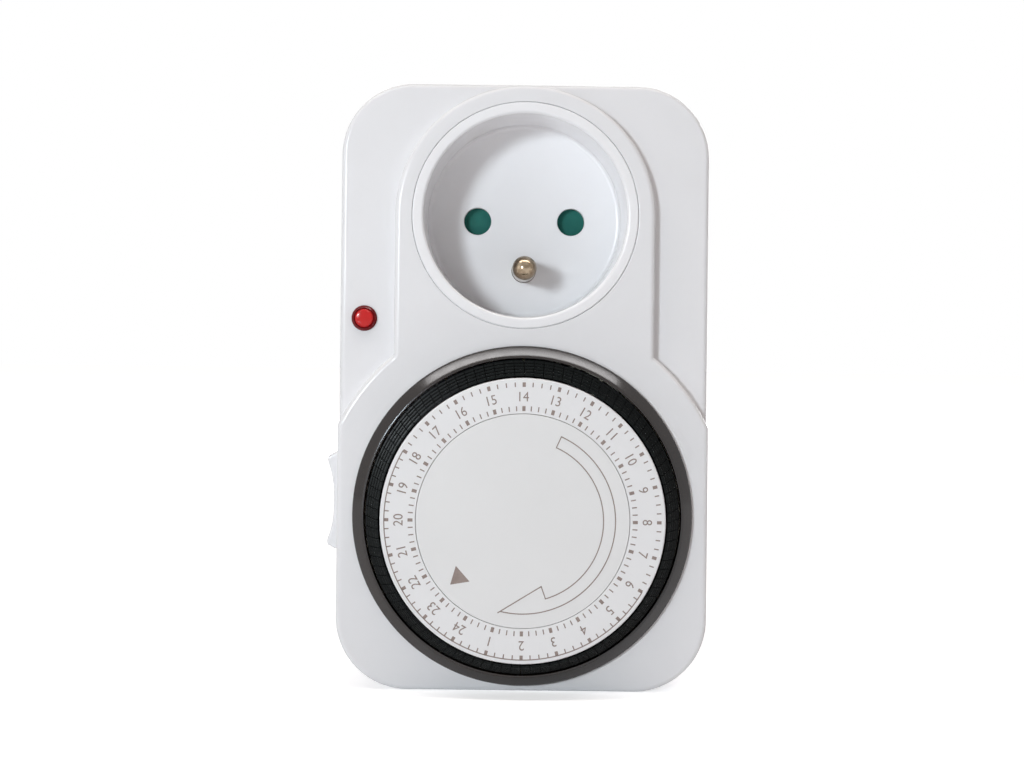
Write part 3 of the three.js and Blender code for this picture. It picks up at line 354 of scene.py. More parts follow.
def redLens():
    # painted light: over the lamp's hole the red is painted bright, as light shining through from behind, and
    # towards the rim it turns to a dark red, whatever the depth
    look = lensLook
    outer = look["outer"]
    finish, nodes, links, shader = newFinish("redLens", look["roughness"], specular=look["specular"])
    place = nodes.new("ShaderNodeTexCoord")
    mapping = nodes.new("ShaderNodeMapping")
    mapping.vector_type = "TEXTURE"
    mapping.inputs["Location"].default_value = (lensPlace[0] * mm, 0, lensPlace[1] * mm)
    mapping.inputs["Scale"].default_value = (outer * mm, look["deep"], outer * mm)
    ball = nodes.new("ShaderNodeTexGradient")
    ball.gradient_type = "SPHERICAL"
    links.new(place.outputs["Object"], mapping.inputs["Vector"])
    links.new(mapping.outputs["Vector"], ball.inputs["Vector"])
    span = (1 - look["darkFrom"] / outer, 1 - look["paintedLightTo"] / outer)
    colour = twoTone(nodes, links, ball.outputs["Fac"], look["rim"], look["middle"], span)
    links.new(colour, shader.inputs["Base Color"])
    relief(nodes, links, shader, grain(nodes, links, look["skinScale"]), look["skinDepth"])
    return finish


def lampGlass():
    look = glassLook
    finish, nodes, links, shader = newFinish("lampGlass", look["roughness"])
    cloud = grain(nodes, links, look["cloudScale"])
    links.new(twoTone(nodes, links, cloud, look["low"], look["high"]), shader.inputs["Base Color"])
    shader.inputs["Transmission Weight"].default_value = look["transmission"]
    shader.inputs["IOR"].default_value = look["ior"]
    return finish


finishes = {name: mouldedPlastic(name, look) for name, look in plasticLooks.items()}
finishes |= {name: drawnMetal(name, look) for name, look in metalLooks.items()}
finishes |= {"redLens": redLens(), "lampGlass": lampGlass()}
print("finishes made")

# front shell
shellSizes = dict(
    side=35.9, top=25.7, bottom=-92, corner=14, cornerSteps=20, wall=2, edgeRound=1, edgeSteps=6,
    frontY=-48, splitY=-27, plateauY=-51, neck=25.2, neckSteps=96, flare=39.8, flareSteps=16,
    socketHole=21.95, mouth=0.2, mouthBow=(0.06, 0.07), collarRadius=23.5, collarEndY=-43.5, dialHole=31.5,
    holeSteps=128, collarSteps=96,
    bossRadius=3, bossGap=0.05, pilotRadius=1.7, pilotFrom=12.3, lensHole=2.2, lampTube=3, lampEndY=-37,
    sliderY=-38, sliderMiddleZ=-58.5, trackHalfY=4.3, trackHalfZ=11.8, trackDepth=0.8, trackCorner=0.8,
    slotHalfY=2.3, slotHalfZ=6.3,
)


def bodySlab(inset, front, back, rounded=None):
    # the body's rounded rectangle between two depths; rounded is the depth whose edge is rounded
    s = shellSizes
    bm = box((inset - s["side"], front, s["bottom"] + inset), (s["side"] - inset, back, s["top"] - inset))
    roundOff(bm, edgesAlong(bm, 1), s["corner"] - inset, s["cornerSteps"])
    if rounded is not None:
        roundOff(bm, edgesAtDepth(bm, rounded), s["edgeRound"], s["edgeSteps"])
    return bm


def keyholeSlab(inset, front, back, rounded=None):
    # round about the socket, straight sides to a corner, an arc about the dial, and the body's width below
    s = shellSizes
    neck, flare, side = s["neck"] - inset, s["flare"] - inset, s["side"] - inset
    corner, cornerZ = s["corner"] - inset, s["bottom"] + s["corner"]
    neckTurn, sideTurn = math.degrees(math.acos(neck / flare)), math.degrees(math.acos(side / flare))
    bm = bmesh.new()
    first = bm.verts.new((neck, front, 0))
    left = spinPoint(bm, first, (0, 0), -180, s["neckSteps"])
    flareTop = bm.verts.new((-neck, front, dialCentre[1] + flare * math.sin(math.radians(neckTurn))))
    flareEnd = spinPoint(bm, flareTop, dialCentre, sideTurn - neckTurn, s["flareSteps"])
    lowLeft = bm.verts.new((-side, front, cornerZ))
    lowLeftEnd = spinPoint(bm, lowLeft, (corner - side, cornerZ), -90, s["cornerSteps"])
    lowRight = bm.verts.new((side - corner, front, lowLeftEnd.co.z))
    lowRightEnd = spinPoint(bm, lowRight, (side - corner, cornerZ), -90, s["cornerSteps"])
    rightEnd = bm.verts.new((side, front, flareEnd.co.z))
    rightTop = spinPoint(bm, rightEnd, dialCentre, sideTurn - neckTurn, s["flareSteps"])
    straights = ((left, flareTop), (flareEnd, lowLeft), (lowLeftEnd, lowRight), (lowRightEnd, rightEnd),
                 (rightTop, first))
    for pair in straights:
        bm.edges.new(pair)
    bmesh.ops.edgeloop_fill(bm, edges=bm.edges[:])
    thicken(bm, back - front)
    bmesh.ops.recalc_face_normals(bm, faces=bm.faces)
    if rounded is not None:
        roundOff(bm, edgesAtDepth(bm, rounded), s["edgeRound"], s["edgeSteps"])
    return bm


def sliderOpening(halfY, halfZ, depth):
    # a cut through the left side, from outside to a depth in the wall
    s = shellSizes
    return box((-s["side"] - past, s["sliderY"] - halfY, s["sliderMiddleZ"] - halfZ),
               (depth - s["side"], s["sliderY"] + halfY, s["sliderMiddleZ"] + halfZ))


def frontShell():
    s = shellSizes
    inside = s["frontY"] + s["wall"]
    shell = solid(bodySlab(0, s["frontY"], s["splitY"], rounded=s["frontY"]))
    combine(shell, "UNION", keyholeSlab(0, s["plateauY"], inside - lap, rounded=s["plateauY"]))
    combine(
        shell, "DIFFERENCE",
        bodySlab(s["wall"], inside, s["splitY"] + past),
        keyholeSlab(s["wall"], s["plateauY"] + s["wall"], inside + past),
    )
    collar = rod(s["collarRadius"], s["plateauY"] + s["wall"] / 2, s["collarEndY"], steps=s["collarSteps"])
    combine(shell, "UNION", collar)
    for place in screwPlaces:
        combine(shell, "UNION", rod(s["bossRadius"], inside - lap, s["splitY"] - s["bossGap"], place))
        pilot = rod(s["pilotRadius"], s["frontY"] + s["pilotFrom"], s["splitY"] + past, place)
        combine(shell, "DIFFERENCE", pilot)
    combine(shell, "UNION", rod(s["lampTube"], s["frontY"] + s["wall"] / 2, s["lampEndY"], lensPlace))
    # soft rounding where the shell meets the socket cup
    hole, mouth, face, end = s["socketHole"], s["mouth"], s["plateauY"], s["collarEndY"] + past
    bow, drop = s["mouthBow"]
    socketMouth = turned(
        [(0, face - past), (hole + mouth, face - past), (hole + mouth, face), (hole + bow, face + drop),
         (hole, face + mouth), (hole, end), (0, end)], steps=s["holeSteps"])
    sliderTrack = sliderOpening(s["trackHalfY"], s["trackHalfZ"], s["trackDepth"])
    roundOff(sliderTrack, edgesAlong(sliderTrack, 0), s["trackCorner"])
    combine(
        shell, "DIFFERENCE",
        socketMouth,
        rod(s["dialHole"], s["plateauY"] - past, inside + past, dialCentre, s["holeSteps"]),
        rod(s["lensHole"], s["frontY"] - past, s["lampEndY"] + past, lensPlace),
        sliderTrack, sliderOpening(s["slotHalfY"], s["slotHalfZ"], s["wall"] + past),
    )
    return finishPiece(shell, "frontShell", "housing", "caseWhite", ["front_housing"])


frontShell()
print("front shell made")

# rear shell
rearSizes = dict(
    frontY=-26.7, backY=-17, floorY=-19, bossRadius=18.5, bossHollow=16.5, bossFloorY=-4, bossRound=1.0,
    bossSteps=128, hollowSteps=96, rootFlare=0.8, rootBow=0.25,
    pinHole=2.7, earthHole=3.3, earthBevel=0.4, earthSteps=64,
    screwBoss=4, screwBossGap=0.05, screwHole=1.7, screwWell=2.9, wellY=-19.6, wellBevel=0.3, wellSteps=48,
    panel=((-20, -82), (20, -58)), panelDepth=0.3, panelCorner=2, panelSteps=6,
)
fittingSizes = dict(
    posts=((-19.5, -37), (27, -37), (1, -86)), postRadius=2.5, postFrontY=-34.7, pegRadius=1.2,
    pegFrontY=-37.3, pegRound=0.25, postSteps=40,
    bearing=228, leverRadius=28.3, pivotX=-11, pivotY=-40.3, pinHole=1.05, pinHoleSteps=32,
    earHalf=1.8, earRise=1.6, earFrom=3.3, earTo=4.8, cradleX=(-14, 4), cradleY=-26.1, cradleHalf=2.9,
)


def platePost(place):
    # carries the mechanism plate, with a peg through it
    d = fittingSizes
    back = rearSizes["floorY"] + lap
    profile = [(0, d["pegFrontY"]), (d["pegRadius"], d["pegFrontY"]), (d["pegRadius"], d["postFrontY"]),
               (d["postRadius"], d["postFrontY"]), (d["postRadius"], back), (0, back)]
    return turned(profile, place, d["postSteps"], rounds=[(1, d["pegRound"])])


def leverFittings():
    # the two ears that hold the lever's pin, and the block that carries the microswitch
    d = fittingSizes
    back = rearSizes["floorY"] + lap
    lever = dialCentre[1] + d["leverRadius"]
    blocks = [box((d["cradleX"][0], d["cradleY"], lever - d["cradleHalf"]),
                  (d["cradleX"][1], back, lever + d["cradleHalf"]))]
    for near, far in ((-d["earTo"], -d["earFrom"]), (d["earFrom"], d["earTo"])):
        blocks.append(box((d["pivotX"] - d["earHalf"], d["pivotY"] - d["earRise"], lever + near),
                          (d["pivotX"] + d["earHalf"], back, lever + far)))
    hole = rod(d["pinHole"], -d["earTo"] - past, d["earTo"] + past, steps=d["pinHoleSteps"])
    bmesh.ops.rotate(hole, verts=hole.verts, cent=(0, 0, 0), matrix=quarterTurn)
    bmesh.ops.translate(hole, vec=(d["pivotX"], d["pivotY"], lever), verts=hole.verts)
    for shape in blocks + [hole]:
        shape.transform(aboutDial(d["bearing"]))
    return blocks, hole


def plugBoss():
    r = rearSizes
    radius, root, bow = r["bossRadius"], r["bossRadius"] + r["rootFlare"], r["rootBow"]
    front, back = r["floorY"] - lap, r["backY"]
    return turned(
        [(0, front), (root, front), (root, back), (radius + bow, back + bow), (radius, back + r["rootFlare"]),
         (radius, 0), (0, 0)], steps=r["bossSteps"], rounds=[(5, r["bossRound"])])


def screwWell(place):
    # the screw's hole, with a wider well for its head
    r = rearSizes
    hole, well, bevel = r["screwHole"], r["screwWell"], r["wellBevel"]
    front, back = r["frontY"] - past, r["backY"]
    return turned([(0, front), (hole, front), (hole, r["wellY"]), (well, r["wellY"]), (well, back - bevel),
                   (well + bevel, back), (well + bevel, past), (0, past)], place, r["wellSteps"])


def rearShell():
    s, r = shellSizes, rearSizes
    shell = solid(bodySlab(0, r["frontY"], r["backY"], rounded=r["backY"]))
    combine(shell, "DIFFERENCE", bodySlab(s["wall"], r["frontY"] - past, r["floorY"]))
    combine(shell, "UNION", plugBoss())
    combine(shell, "DIFFERENCE", rod(r["bossHollow"], r["frontY"], r["bossFloorY"], steps=r["hollowSteps"]))
    blocks, pinHole = leverFittings()
    combine(shell, "UNION", *(platePost(place) for place in fittingSizes["posts"]), *blocks)
    combine(shell, "DIFFERENCE", pinHole)
    for place in screwPlaces:
        screwBoss = rod(r["screwBoss"], r["frontY"] + r["screwBossGap"], r["floorY"] + lap, place)
        combine(shell, "UNION", screwBoss)
        combine(shell, "DIFFERENCE", screwWell(place))
    for place in pinPlaces:
        combine(shell, "DIFFERENCE", rod(r["pinHole"], r["bossFloorY"] - past, past, place))
    hole, bevel, front = r["earthHole"], r["earthBevel"], r["bossFloorY"] - past
    combine(shell, "DIFFERENCE", turned(
        [(0, front), (hole, front), (hole, -bevel), (hole + bevel, 0), (hole + bevel, past), (0, past)],
        earthPlace, r["earthSteps"]))
    (x0, z0), (x1, z1) = r["panel"]
    panel = box((x0, r["backY"] - r["panelDepth"], z0), (x1, 0, z1))
    roundOff(panel, edgesAlong(panel, 1), r["panelCorner"], r["panelSteps"])
    combine(shell, "DIFFERENCE", panel)
    return finishPiece(shell, "rearShell", "housing", "caseWhite", ["rear_housing"])


rearShell()
print("rear shell made")

# socket cup and earth pin
cupSizes = dict(
    recess=19.75, taper=0.15, outer=21.83, rimY=-51, floorY=-34, floorBackY=-31.8,
    step=0.1, stepDrop=0.35, flange=23.5, flangeY=(-43.2, -41.5),
    outerRound=0.15, innerRound=0.6, floorRound=0.9, steps=144,
    pinHole=2.78, pinMouth=0.12, earthHole=2.5, holeSteps=64,
    railX=(12.9, 13.9, 15.4), railHalf=10.3, railY=-29.7, lipY=-28.9, seatHalf=2.5, seatBackY=-27.95,
    seatZ=(17.8, 19.8),
)
earthPinSizes = dict(radius=2.4, tipY=-48, domeDegrees=range(0, 91, 9), flange=3.4, flangeY=(-31.5, -30),
                     tail=2, tailEndY=-25, steps=64)


def shutterGuides():
    # the two lipped rails that the shutter runs in, and the spring's seat above it
    s = cupSizes
    lip, inner, outer = s["railX"]
    front = s["floorBackY"] - lap
    guides = [box((-s["seatHalf"], front, s["seatZ"][0]), (s["seatHalf"], s["seatBackY"], s["seatZ"][1]))]
    for side in (-1, 1):
        for near, y in ((inner, front), (lip, s["railY"])):
            low, high = sorted((side * near, side * outer))
            guides.append(box((low, y, -s["railHalf"]), (high, s["lipY"], s["railHalf"])))
    return guides


def socketCup():
    s = cupSizes
    recess, floor, rim = s["recess"], s["floorY"], s["rimY"]
    outer, stepped, stepY = s["outer"], s["outer"] + s["step"], rim + s["stepDrop"]
    flangeFront, flangeBack = s["flangeY"]
    cup = solid(turned(
        [(0, floor), (recess - s["taper"], floor), (recess, rim), (outer, rim),
         (outer, stepY), (stepped, stepY), (stepped, flangeFront), (s["flange"], flangeFront),
         (s["flange"], flangeBack), (outer, flangeBack), (outer, s["floorBackY"]), (0, s["floorBackY"])],
        steps=s["steps"], rounds=[(3, s["outerRound"]), (2, s["innerRound"]), (1, s["floorRound"])]))
    front, back = floor - past, s["floorBackY"] + past
    hole, mouth = s["pinHole"], s["pinMouth"]
    for place in pinPlaces:
        combine(cup, "DIFFERENCE", turned(
            [(0, front), (hole + mouth, front), (hole + mouth, floor), (hole, floor + mouth), (hole, back),
             (0, back)], place, s["holeSteps"]))
    combine(cup, "DIFFERENCE", rod(s["earthHole"], front, back, earthPlace, s["holeSteps"]))
    combine(cup, "UNION", *shutterGuides())
    # the cup takes the lighter white, painted light that makes up for the shade in its recess
    return finishPiece(cup, "socketCup", "housing", "socketWhitePaintedLight", ["socket_insert"])


def earthPin():
    d = earthPinSizes
    radius, tail = d["radius"], d["tail"]
    flangeFront, flangeBack = d["flangeY"]
    angles = [math.radians(degrees) for degrees in d["domeDegrees"]]
    dome = [(radius * math.sin(a), d["tipY"] + radius * (1 - math.cos(a))) for a in angles]
    pin = turned(dome + [(radius, flangeFront), (d["flange"], flangeFront), (d["flange"], flangeBack),
                         (tail, flangeBack), (tail, d["tailEndY"]), (0, d["tailEndY"])],
                 earthPlace, d["steps"])
    return finishPiece(pin, "earthContactPin", "housing", "darkNickel", ["earth_pin"])


socketCup()
earthPin()
print("socket made")

# shutter spring
springSizes = dict(radius=1.4, wire=0.5, endPitch=0.53, openTurns=5, steps=24, sides=12, travel=6.2)


def shutterCoil():
    # a compression spring with closed ends, which the real shutter squeezes shorter as it rises; here it is
    # drawn at one length, that of its CAD box
    d = springSizes
    low, high = (Vector(corner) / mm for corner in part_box("shutter_spring"))
    middle = (low + high) / 2
    length = high.z - low.z
    openPitch = (length - d["wire"] - 2 * d["endPitch"]) / d["openTurns"]
    bm = bmesh.new()
    bmesh.ops.create_circle(bm, segments=d["sides"], radius=d["wire"] / 2, cap_ends=True)
    bmesh.ops.rotate(bm, verts=bm.verts, cent=(0, 0, 0), matrix=quarterTurn)
    bmesh.ops.translate(bm, vec=(middle.x + d["radius"], middle.y, low.z + d["wire"] / 2), verts=bm.verts)
    last = bm.faces[:]
    for turns, pitch in ((1, d["endPitch"]), (d["openTurns"], openPitch), (1, d["endPitch"])):
        made = bmesh.ops.spin(bm, geom=last, cent=(middle.x, middle.y, 0), axis=(0, 0, 1),
                              dvec=(0, 0, pitch / d["steps"]), angle=math.tau * turns,
                              steps=turns * d["steps"], use_duplicate=False)
        last = made["geom_last"]
    spring = finishPiece(bm, "shutterCoil", "housing", "steelZinc", ["shutter_spring"])
    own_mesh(spring)
    return spring


shutterCoil()
print("shutter spring made")

# plug pins, earth sleeve and case screws
plugSizes = dict(radius=2.4, tipY=19, tipRadius=1.1, taper=1.5, tipRound=0.9, taperRound=1.2,
                 headY=-4.3, headRadius=3.6, headThickness=2, steps=56)
sleeveSizes = dict(outer=3.8, inner=3, frontY=-24.7, floorY=-22.7, backY=-4.3, rimRound=0.25, steps=56)
screwSizes = dict(
    radius=1.4, tipY=-35.3, tipRadius=0.7, taperY=-34.3, head=2.6, seatY=-19.3, edgeY=-17.7, crown=2.1,
    crownY=-17.35, topY=-17.3, recessY=-18.4, recessEndY=-16, slotHalf=0.35, slotReach=1.6, steps=40,
)


def plugPin(place, name, node):
    p = plugSizes
    seat = p["headY"] - p["headThickness"]
    profile = [(0, p["tipY"]), (p["tipRadius"], p["tipY"]), (p["radius"], p["tipY"] - p["taper"]),
               (p["radius"], p["headY"]), (p["headRadius"], p["headY"]), (p["headRadius"], seat), (0, seat)]
    pin = turned(profile, place, p["steps"], rounds=[(1, p["tipRound"]), (2, p["taperRound"])])
    return finishPiece(pin, name, "housing", "nickelPlate", [node])


def earthSleeve():
    d = sleeveSizes
    inner, outer, floor = d["inner"], d["outer"], d["floorY"]
    profile = [(0, d["frontY"]), (outer, d["frontY"]), (outer, d["backY"]), (inner, d["backY"]),
               (inner, floor), (0, floor)]
    sleeve = turned(profile, earthPlace, d["steps"], rounds=[(2, d["rimRound"]), (3, d["rimRound"])])
    return finishPiece(sleeve, "earthSleeve", "housing", "brassSheet", ["earth_strap"])


def caseScrew(number, place):
    d = screwSizes
    profile = [(0, d["tipY"]), (d["tipRadius"], d["tipY"]), (d["radius"], d["taperY"]),
               (d["radius"], d["seatY"]), (d["head"], d["seatY"]), (d["head"], d["edgeY"]),
               (d["crown"], d["crownY"]), (0, d["topY"])]
    screw = solid(turned(profile, place, d["steps"]))
    x, z = place
    wide, narrow = d["slotReach"], d["slotHalf"]
    for halfX, halfZ in ((narrow, wide), (wide, narrow)):
        slot = box((x - halfX, d["recessY"], z - halfZ), (x + halfX, d["recessEndY"], z + halfZ))
        combine(screw, "DIFFERENCE", slot)
    return finishPiece(screw, f"caseScrew{number}", "housing", "steelZinc",
                       [f"housing_screw_{number}"])


plugPin(pinPlaces[0], "plugPinLeft", "plug_pin_live")
plugPin(pinPlaces[1], "plugPinRight", "plug_pin_neutral")
earthSleeve()
for index, place in enumerate(screwPlaces):
    caseScrew(index + 1, place)
print("plug side made")

# lens
lensSizes = dict(
    frontY=-49.1, dome=1.6, domeDrop=0.1, groove=1.85, grooveDrop=0.6, shoulder=0.2, shoulderDrop=0.45,
    rim=2.5, rimHeight=0.2, seatY=-48.1, stem=1.9, endY=-45.3, domeRound=0.2, rimRound=0.12, steps=64,
)


def indicatorLens():
    d = lensSizes
    front, seat = d["frontY"], d["seatY"]
    profile = [(0, front), (d["dome"], front + d["domeDrop"]), (d["groove"], front + d["grooveDrop"]),
               (d["groove"] + d["shoulder"], front + d["shoulderDrop"]), (d["rim"], seat - d["rimHeight"]),
               (d["rim"], seat), (d["stem"], seat), (d["stem"], d["endY"]), (0, d["endY"])]
    lens = turned(profile, lensPlace, d["steps"], rounds=[(1, d["domeRound"]), (4, d["rimRound"])])
    return finishPiece(lens, "neonLens", "housing", "redLens", ["indicator_lens"])


# side switch
switchSizes = dict(
    baseX=-35.4, proudX=-38.7, dipX=-37.4, middleY=-38, middleZ=-56.5, half=9.5, width=8, steps=28,
    crestAt=0.82, bowPower=2.6, dropAt=0.86, endDrop=1.5, crownFrom=0.5, crownRound=0.5,
    stemX=(-35.7, -33.1), stemHalf=(2, 4), footX=(-33.6, -32.4), footHalf=(4, 5.5),
)


def saddleOutline():
    # the switch from the side: low in the middle, proud towards both ends, and rounded down at them
    d = switchSizes
    outline = [(d["baseX"], d["half"]), (d["baseX"], -d["half"])]
    for step in range(d["steps"] + 1):
        along = -d["half"] + 2 * d["half"] * step / d["steps"]
        end = abs(along) / d["half"]
        saddle = min(1.0, (end / d["crestAt"]) ** d["bowPower"])
        drop = max(0.0, (end - d["dropAt"]) / (1 - d["dropAt"]))
        fall = d["endDrop"] * (1 - math.sqrt(max(0.0, 1 - drop * drop)))
        outline.append((d["dipX"] + (d["proudX"] - d["dipX"]) * saddle + fall, along))
    return outline


def sideSwitch():
    # the saddle on a stem with a foot
    d = switchSizes
    bm = bmesh.new()
    front = d["middleY"] - d["width"] / 2
    bm.faces.new([bm.verts.new((x, front, d["middleZ"] + z)) for x, z in saddleOutline()])
    thicken(bm, d["width"])
    bmesh.ops.recalc_face_normals(bm, faces=bm.faces)
    crown = [e for y in (front, front + d["width"]) for e in edgesAtDepth(bm, y)
             if all(v.co.x < d["baseX"] - d["crownFrom"] for v in e.verts)]
    roundOff(bm, crown, d["crownRound"])
    cap = solid(bm)
    for part in ("stem", "foot"):
        (low, high), (halfY, halfZ) = d[part + "X"], d[part + "Half"]
        combine(cap, "UNION", box((low, d["middleY"] - halfY, d["middleZ"] - halfZ),
                                  (high, d["middleY"] + halfY, d["middleZ"] + halfZ)))
    return finishPiece(cap, "sideSwitch", "override", "caseWhite", ["override_slider"])


indicatorLens()
sideSwitch()
print("lens and side switch made")

# dial rings
gripSizes = dict(inner=30.4, outer=32.75, backY=-51.3, frontY=-53.6, edge=0.7, land=0.35,
                 crownBow=(0.02, -0.03), rounds=((2, 0.25), (3, 0.8), (4, 0.15), (5, 0.08)), steps=192)
faceSizes = dict(frontY=-60.47, backY=-59, inner=20.14, outer=26.8, innerRound=0.04, outerRound=0.3,
                 steps=192)
discSizes = dict(radius=20.04, edgeRound=0.06, steps=160)


def gripRing():
    d = gripSizes
    back, front, inner, outer = d["backY"], d["frontY"], d["inner"], d["outer"]
    land, edge = inner + d["land"], back - d["edge"]
    bowOut, bowForward = d["crownBow"]
    crown = ((land + outer) / 2 + bowOut, (front + edge) / 2 + bowForward)
    profile = [(inner, back), (outer, back), (outer, edge), crown, (land, front), (inner, front)]
    ring = turned(profile, dialCentre, d["steps"], rounds=d["rounds"])
    return finishPiece(ring, "gripRing", "dial", "smokedPlastic", ["grip_ring"])


def numberRing():
    d = faceSizes
    profile = [(d["inner"], d["frontY"]), (d["outer"], d["frontY"]), (d["outer"], d["backY"]),
               (d["inner"], d["backY"])]
    ring = turned(profile, dialCentre, d["steps"], rounds=[(0, d["innerRound"]), (1, d["outerRound"])])
    return finishPiece(ring, "hourRing", "dial", "ringWhite", ["number_ring"])


def pointerDisc():
    d = discSizes
    front, back = faceSizes["frontY"], faceSizes["backY"]
    profile = [(0, front), (d["radius"], front), (d["radius"], back), (0, back)]
    disc = turned(profile, dialCentre, d["steps"], rounds=[(1, d["edgeRound"])])
    return finishPiece(disc, "pointerDisc", "housing", "discWhite", ["pointer_disc"])


gripRing()
numberRing()
pointerDisc()
print("dial rings made")

# push-down segments
tabSizes = dict(
    inner=27.1, outer=30.1, plateauY=-51, rises=(3, 4.5, 6, 7.5, 9), blockFrontY=-52.8, blockBackY=-45,
    blockGap=0.65, blockSteps=8, headFootY=-52.4, headInset=0.05, headOutset=0.1, edge=0.15, edgeSteps=2,
    split=0.12, groove=0.13, grooveDepth=0.6, uneven=(0.02, -0.06, 0.04, -0.03),
)


def hourBlock():
    # the common foot behind the four tabs of an hour
    d = tabSizes
    bm = bmesh.new()
    half = 180 / hours - math.degrees(d["blockGap"] / d["inner"])
    ends = [bm.verts.new((0, d["blockFrontY"], dialCentre[1] + d[side])) for side in ("inner", "outer")]
    bm.edges.new(ends)
    sweepRound(bm, bm.verts[:] + bm.edges[:], -half, half, d["blockSteps"])
    thicken(bm, d["blockBackY"] - d["blockFrontY"])
    return bm


def tabHead():
    # one stepped head at the top of the dial, drawn in its radial section and swept across
    d = tabSizes
    bm = bmesh.new()
    inner, outer = d["inner"] + d["headInset"], d["outer"] - d["headOutset"]
    step = (outer - inner) / len(d["rises"])
    crests = [(outer - index * step, d["plateauY"] - rise) for index, rise in enumerate(d["rises"])]
    outline = [(inner, d["headFootY"]), (outer, d["headFootY"]), crests[0]]
    for (radius, top), crest in zip(crests, crests[1:]):
        lip, foot = radius - step + d["groove"], top + d["grooveDepth"]
        outline += [(lip, top), (lip, foot), (radius - step, foot), crest]
    outline.append((inner, crests[-1][1]))
    face = bm.faces.new([bm.verts.new((0, y, dialCentre[1] + radius)) for radius, y in outline])
    half = 180 / quarters - math.degrees(d["split"] / 2 / inner)
    sweepRound(bm, [face], -half, half, 1)
    bmesh.ops.recalc_face_normals(bm, faces=bm.faces)

    def onCrest(vert, crest):
        radius = math.hypot(vert.co.x, vert.co.z - dialCentre[1])
        return abs(radius - crest[0]) < weldDistance and abs(vert.co.y - crest[1]) < weldDistance

    edges = [e for e in bm.edges if any(all(onCrest(v, crest) for v in e.verts) for crest in crests)]
    roundOff(bm, edges, d["edge"], d["edgeSteps"])
    return bm


def hourTabs(hour, head):
    bm = hourBlock()
    for tab in range(tabsPerHour):
        copy = head.copy()
        seated = Matrix.Translation((0, tabSizes["uneven"][(tab + hour) % tabsPerHour], 0))
        copy.transform(aboutDial((tab - (tabsPerHour - 1) / 2) * 360 / quarters) @ seated)
        addMesh(bm, copy)
    bm.transform(aboutDial((hour - 0.5) * 360 / hours))
    return finishPiece(bm, f"hourTabs{hour:02d}", f"tripper_{hour:02d}", "tabBlack",
                       [f"tripper_{hour:02d}"])


tabPattern = solid(tabHead())
for hour in range(1, hours + 1):
    hourTabs(hour, tabPattern.data)
bpy.data.objects.remove(tabPattern)
print("push-down segments made")

# print on the dial
inkSizes = dict(backY=-60.46, frontY=-60.5, line=0.2, degreesPerStep=2)
markSizes = dict(outerTick=(25.12, 25.98), innerTick=(20.6, 21.53), hourTick=0.6, quarterTick=0.22,
                 arcRadius=25.97, arcFrom=120, arcTo=300)
numberSizes = dict(radius=23.32, height=2.58, width=0.92, topHour=14, curveSteps=3)
arrowSizes = dict(inner=15.13, outer=17.37, start=24, tip=(17.7, 194.5), tipInset=1, barb=(12.7, 163.5),
                  barbInset=0.5, pointer=(18.0, 228.2), pointerBase=14.9, pointerHalf=1.95)
inkDepth = inkSizes["backY"] - inkSizes["frontY"]
inkMiddleY = (inkSizes["backY"] + inkSizes["frontY"]) / 2


def polar(radius, bearing):
    angle = math.radians(bearing)
    return radius * math.sin(angle), dialCentre[1] + radius * math.cos(angle)


def inkBar(bm, width, length):
    verts = bmesh.ops.create_cube(bm, size=1)["verts"]
    bmesh.ops.scale(bm, vec=(width, inkDepth, length), verts=verts)
    return verts


def inkBlock(bm, width, low, high, bearing):
    # a short radial mark between two radii
    verts = inkBar(bm, width, high - low)
    bmesh.ops.translate(bm, vec=(0, inkMiddleY, dialCentre[1] + (low + high) / 2), verts=verts)
    bmesh.ops.transform(bm, matrix=aboutDial(bearing), verts=verts)


def inkArc(bm, radius, start, end):
    p = inkSizes
    low, high = radius - p["line"] / 2, radius + p["line"] / 2
    part = bmesh.new()
    corners = [(low, p["frontY"]), (high, p["frontY"]), (high, p["backY"]), (low, p["backY"])]
    face = part.faces.new([part.verts.new((0, y, dialCentre[1] + r)) for r, y in corners])
    sweepRound(part, [face], start, end, max(2, round(abs(end - start) / p["degreesPerStep"])))
    addMesh(bm, meshFrom(part, "part"))


def inkLine(bm, start, end):
    (x0, z0), (x1, z1) = start, end
    line = inkSizes["line"]
    verts = inkBar(bm, line, math.hypot(x1 - x0, z1 - z0) + line)
    lean = Matrix.Rotation(math.atan2(x1 - x0, z1 - z0), 3, "Y")
    bmesh.ops.rotate(bm, verts=verts, cent=(0, 0, 0), matrix=lean)
    bmesh.ops.translate(bm, vec=((x0 + x1) / 2, inkMiddleY, (z0 + z1) / 2), verts=verts)


def ringMarks():
    # the ticks of the hours and quarters, and the arc outside them
    p = markSizes
    bm = bmesh.new()
    for quarter in range(quarters):
        width = p["hourTick"] if quarter % tabsPerHour == 0 else p["quarterTick"]
        for low, high in (p["outerTick"], p["innerTick"]):
            inkBlock(bm, width, low, high, quarter * 360 / quarters)
    inkArc(bm, p["arcRadius"], p["arcFrom"], p["arcTo"])
    return finishPiece(bm, "ringMarks", "dial", "printGrey")


def writtenNumber(number):
    # a number as a flat mesh, centred, upright and facing the front
    p = numberSizes
    text = bpy.data.curves.new("number", "FONT")
    text.body = str(number)
    text.size = p["height"]
    text.align_x = "CENTER"
    text.align_y = "CENTER"
    text.resolution_u = p["curveSteps"]
    text.extrude = inkDepth / 2
    writer = placed("number", text)
    bpy.context.view_layer.update()
    mesh = bpy.data.meshes.new_from_object(writer)
    bpy.data.objects.remove(writer)
    middles = [(min(values) + max(values)) / 2 for values in zip(*(v.co.xy for v in mesh.vertices))]
    centred = Matrix.Translation((-middles[0], -middles[1], 0))
    narrowed = Matrix.Diagonal((p["width"], 1, 1, 1))
    return mesh, quarterTurn.to_4x4() @ narrowed @ centred


